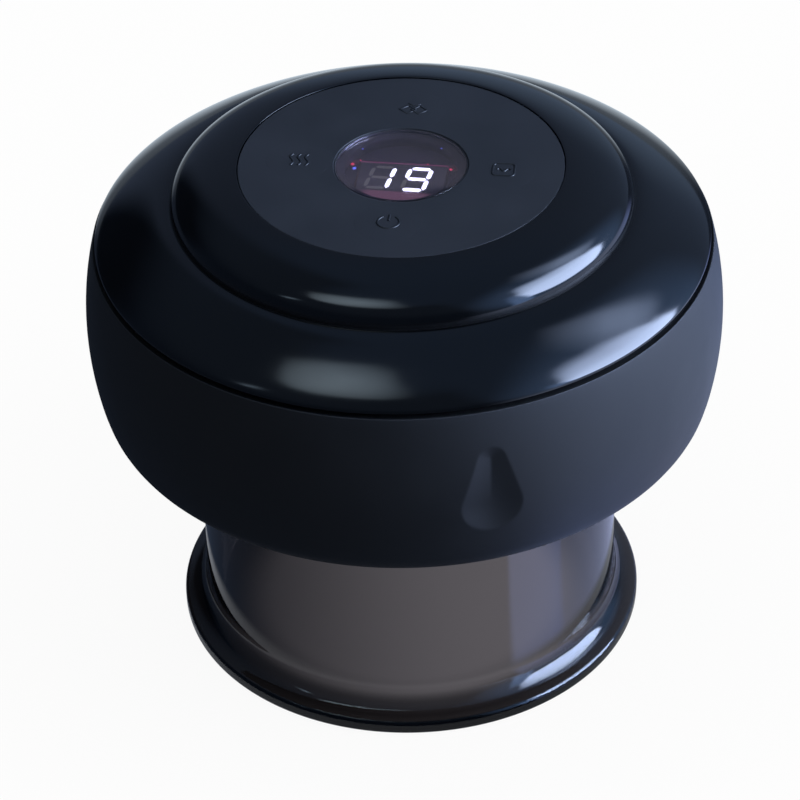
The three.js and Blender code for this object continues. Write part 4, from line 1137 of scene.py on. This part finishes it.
# Display: a two-digit module on the board, lit white, with its unlit bars faintly to be seen, in a
# dark light shield. The red and blue light that leaks out at the shield's edge from the lamps beside
# it is painted light: glowing dots on the shield and a glowing line along the module's top edge. The
# shield's and the module's front edges have a painted pink glow where the lamps' light runs along
# the lens.
def painted_pink_glow(place, start, full, middle, wide, narrow):
    """How strongly a piece's front edge has a painted pink glow, fading from full to start and from
    narrow to wide.
    """
    parts = parts_of(place)
    return times(spread(parts["Y"], start * mm, full * mm),
                 spread(reckon("ABSOLUTE", plus(parts["X"], middle * mm)),
                        wide * mm, narrow * mm))


# The shield's front edge has a painted pink glow.
shield_foam, tree, out = bare_material("shield_foam")
spot = place_in(tree)
cells = noise(spot, 2500.0, 2.0)
principled(out, {
    "Base Color": blended(cells, (0.014, 0.0115, 0.022), (0.021, 0.017, 0.031)),
    "Roughness": 0.85, "Normal": dented(cells, 0.02 * mm), "Emission Color": (1.0, 0.45, 0.75),
    "Emission Strength": times(painted_pink_glow(spot, -4.75, -5.0, 1.0, 5.5, 2.0), 0.30),
})
# The module's front edge has a painted pink glow.
module_grey, tree, out = bare_material("module_grey")
spot = place_in(tree)
cells = noise(spot, 900.0, 3.0)
principled(out, {
    "Base Color": blended(cells, (0.040, 0.044, 0.048), (0.054, 0.058, 0.064)),
    "Roughness": plus(0.35, times(cells, 0.2)), "Emission Color": (1.0, 0.46, 0.62),
    "Emission Strength": times(painted_pink_glow(spot, -2.62, -2.78, 0.4, 5.4, 3.4), 0.27),
})
digit_white = glowing("digit_white", (0.80, 0.84, 1.0), 8.0)
digit_off = moulded("digit_off", (0.27, 0.28, 0.19), 0.5, depth=0.003)
face_z, shield_under, shield_over = 72.2, 71.2, 72.05
low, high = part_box("display_module")
high.y = 3.45 * mm
module = bevelled_box("display_body", low / mm, high / mm, 0.25, module_grey)
placed(module, "main_unit", "display_white", "display_module")

shield = film_sheet("display_shield", [
    [ring_of(7.95, z, sides=96) for z in (shield_under, shield_over)],
    [[(x, y, z) for x, y in ((-6.15, -4.65), (6.15, -4.65), (6.15, 3.65), (-6.15, 3.65))]
     for z in (shield_under, shield_over)],
], shield_foam)
placed(shield, "main_unit", "housing_black")
lining_inner, lining_outer, lining_z = 7.75, 8.05, 73.52
lining = turned("shield_lining", outline([
    (lining_inner, 71.9), (lining_outer, 71.9), (lining_outer, lining_z, 0.08),
    (lining_inner, lining_z, 0.08),
], 3), shield_foam, 128)
placed(lining, "main_unit", "housing_black")

digit_high, digit_wide, bar_thick, slant = 2.28, 1.42, 0.54, math.tan(math.radians(10))
bars = {
    "a": (0, digit_high, 0), "g": (0, 0, 0), "d": (0, -digit_high, 0),
    "f": (-digit_wide, digit_high / 2, 1), "b": (digit_wide, digit_high / 2, 1),
    "e": (-digit_wide, -digit_high / 2, 1), "c": (digit_wide, -digit_high / 2, 1),
}


def bar_corners(kind, x, y):
    """The six corners of one bar of a digit."""
    cx, cy, standing = bars[kind]
    reach = (digit_high / 2 if standing else digit_wide) - 0.16
    half = bar_thick / 2
    flat = reach - half
    shape = [(-reach, 0), (-flat, -half), (flat, -half), (reach, 0), (flat, half), (-flat, half)]
    if standing:
        shape = [(-py, px) for px, py in shape]
    return [(x + cx + px + slant * (cy + py), y + cy + py) for px, py in shape]


def digit_bars(name, wanted, finish, rise):
    """Low six-sided bars on the module's face, one solid for each bar."""
    corners, faces = [], []
    for kind, x in wanted:
        first = len(corners)
        ring = bar_corners(kind, x, 0.1)
        corners += [(px * mm, py * mm, (face_z + up) * mm)
                    for up in (-0.05, rise) for px, py in ring]
        faces += prism_faces(6, first)
    made = mesh_object(name, corners, faces, finish)
    placed(made, "main_unit", "display_white")


tens, ones = -2.87, 2.05
digit_bars("digit_bars_lit", [(k, tens) for k in "bc"] + [(k, ones) for k in "abcdfg"],
           digit_white, 0.03)
digit_bars("digit_bars_off", [(k, tens) for k in "adefg"] + [("e", ones)], digit_off, 0.02)

# Painted light: the red and blue dots and the pink line glow in place of the lamps' leaking light,
# and are no lamps.
leak_red = glowing("leak_red", (1.0, 0.07, 0.16), 1.5, (0.05, 0.01, 0.01))
leak_blue = glowing("leak_blue", (0.16, 0.22, 1.0), 2.6, (0.01, 0.01, 0.05))
lamp_dim = glowing("lamp_dim", (1.0, 0.10, 0.16), 0.035, (0.03, 0.02, 0.03))
dress(lamp_dim, "indicator_lamp_left", "indicator_lamp_right")
leak_line = glowing("leak_line", (0.75, 0.16, 0.42), 0.35, (0.03, 0.01, 0.02), 0.6)


def glow_dots(name, places, finish):
    """Small painted glows on the shield, as low lit domes."""
    corners, faces = [], []
    for x, y, z, radius in places:
        first = len(corners)
        corners += [(x, y, z + radius * 0.4), *ring_of(radius * 0.6, z + radius * 0.3, x, y, 12),
                    *ring_of(radius, z - radius * 0.06, x, y, 12)]
        for k in range(12):
            n = (k + 1) % 12
            faces += [(first, first + 1 + k, first + 1 + n),
                      (first + 1 + k, first + 13 + k, first + 13 + n, first + 1 + n)]
        faces.append(tuple(first + 13 + k for k in range(11, -1, -1)))
    dots = mesh_object(name, [Vector(c) * mm for c in corners], faces, finish)
    placed(dots, "main_unit", "lamp_red")


glow_dots("glow_red", [
    (-6.95, 2.7, 72.22, 0.27), (6.35, 2.7, 72.22, 0.22), (3.1, 3.75, 72.1, 0.12),
    (-6.0, 3.9, 72.06, 0.12),
], leak_red)
glow_dots("glow_blue", [
    (-6.6, 1.95, 72.1, 0.26), (-5.93, 4.81, 73.4, 0.12), (4.87, 5.89, 73.4, 0.12),
], leak_blue)
edge_line = mesh_object("glow_line", [
    (x * mm, y * mm, z * mm) for z in (71.3, 72.16)
    for x, y in ((-5.9, 3.47), (5.9, 3.47), (5.9, 3.6), (-5.9, 3.6))
], prism_faces(4), leak_line)
placed(outward(edge_line), "main_unit", "lamp_red")

# Display lens: a dark violet acrylic disc, level with the middle of the film. A thin dark bond
# holds it on the ledge round the opening and fills the gap round its edge.
violet_lens, tree, out = bare_material("violet_lens")
spot = place_in(tree)
film = noise(spot, 130.0, 3.0)
glassy(out, (0.75, 0.7, 0.8), {
    "Base Color": blended(film, (0.37, 0.34, 0.44), (0.42, 0.39, 0.50)),
    "Roughness": span(film, 0.3, 0.7, 0.03, 0.09),
})
lens_radius, lens_z = 9.04, overlay_z + 1.2
lens = turned("violet_window", outline([
    (0, overlay_z), (lens_radius, overlay_z, 0.05), (lens_radius, lens_z, 0.08), (0, lens_z),
], 6), violet_lens, 160)
placed(lens, "main_unit", "lens_tint", "display_lens")

bond_tint = moulded("bond_tint", (0.007, 0.008, 0.013), 0.6, depth=0.003)
bond_inner, bond_outer, bond_under, bond_over = lens_radius + 0.02, 9.3, 73.56, 74.86
ledge_over = overlay_z - 0.02
bond = turned("lens_bond", [
    (lining_inner, bond_under), (bond_outer, bond_under), (bond_outer, bond_over),
    (bond_inner, bond_over), (bond_inner, ledge_over), (lining_inner, ledge_over),
], bond_tint, 128)
placed(bond, "main_unit", "lens_tint")
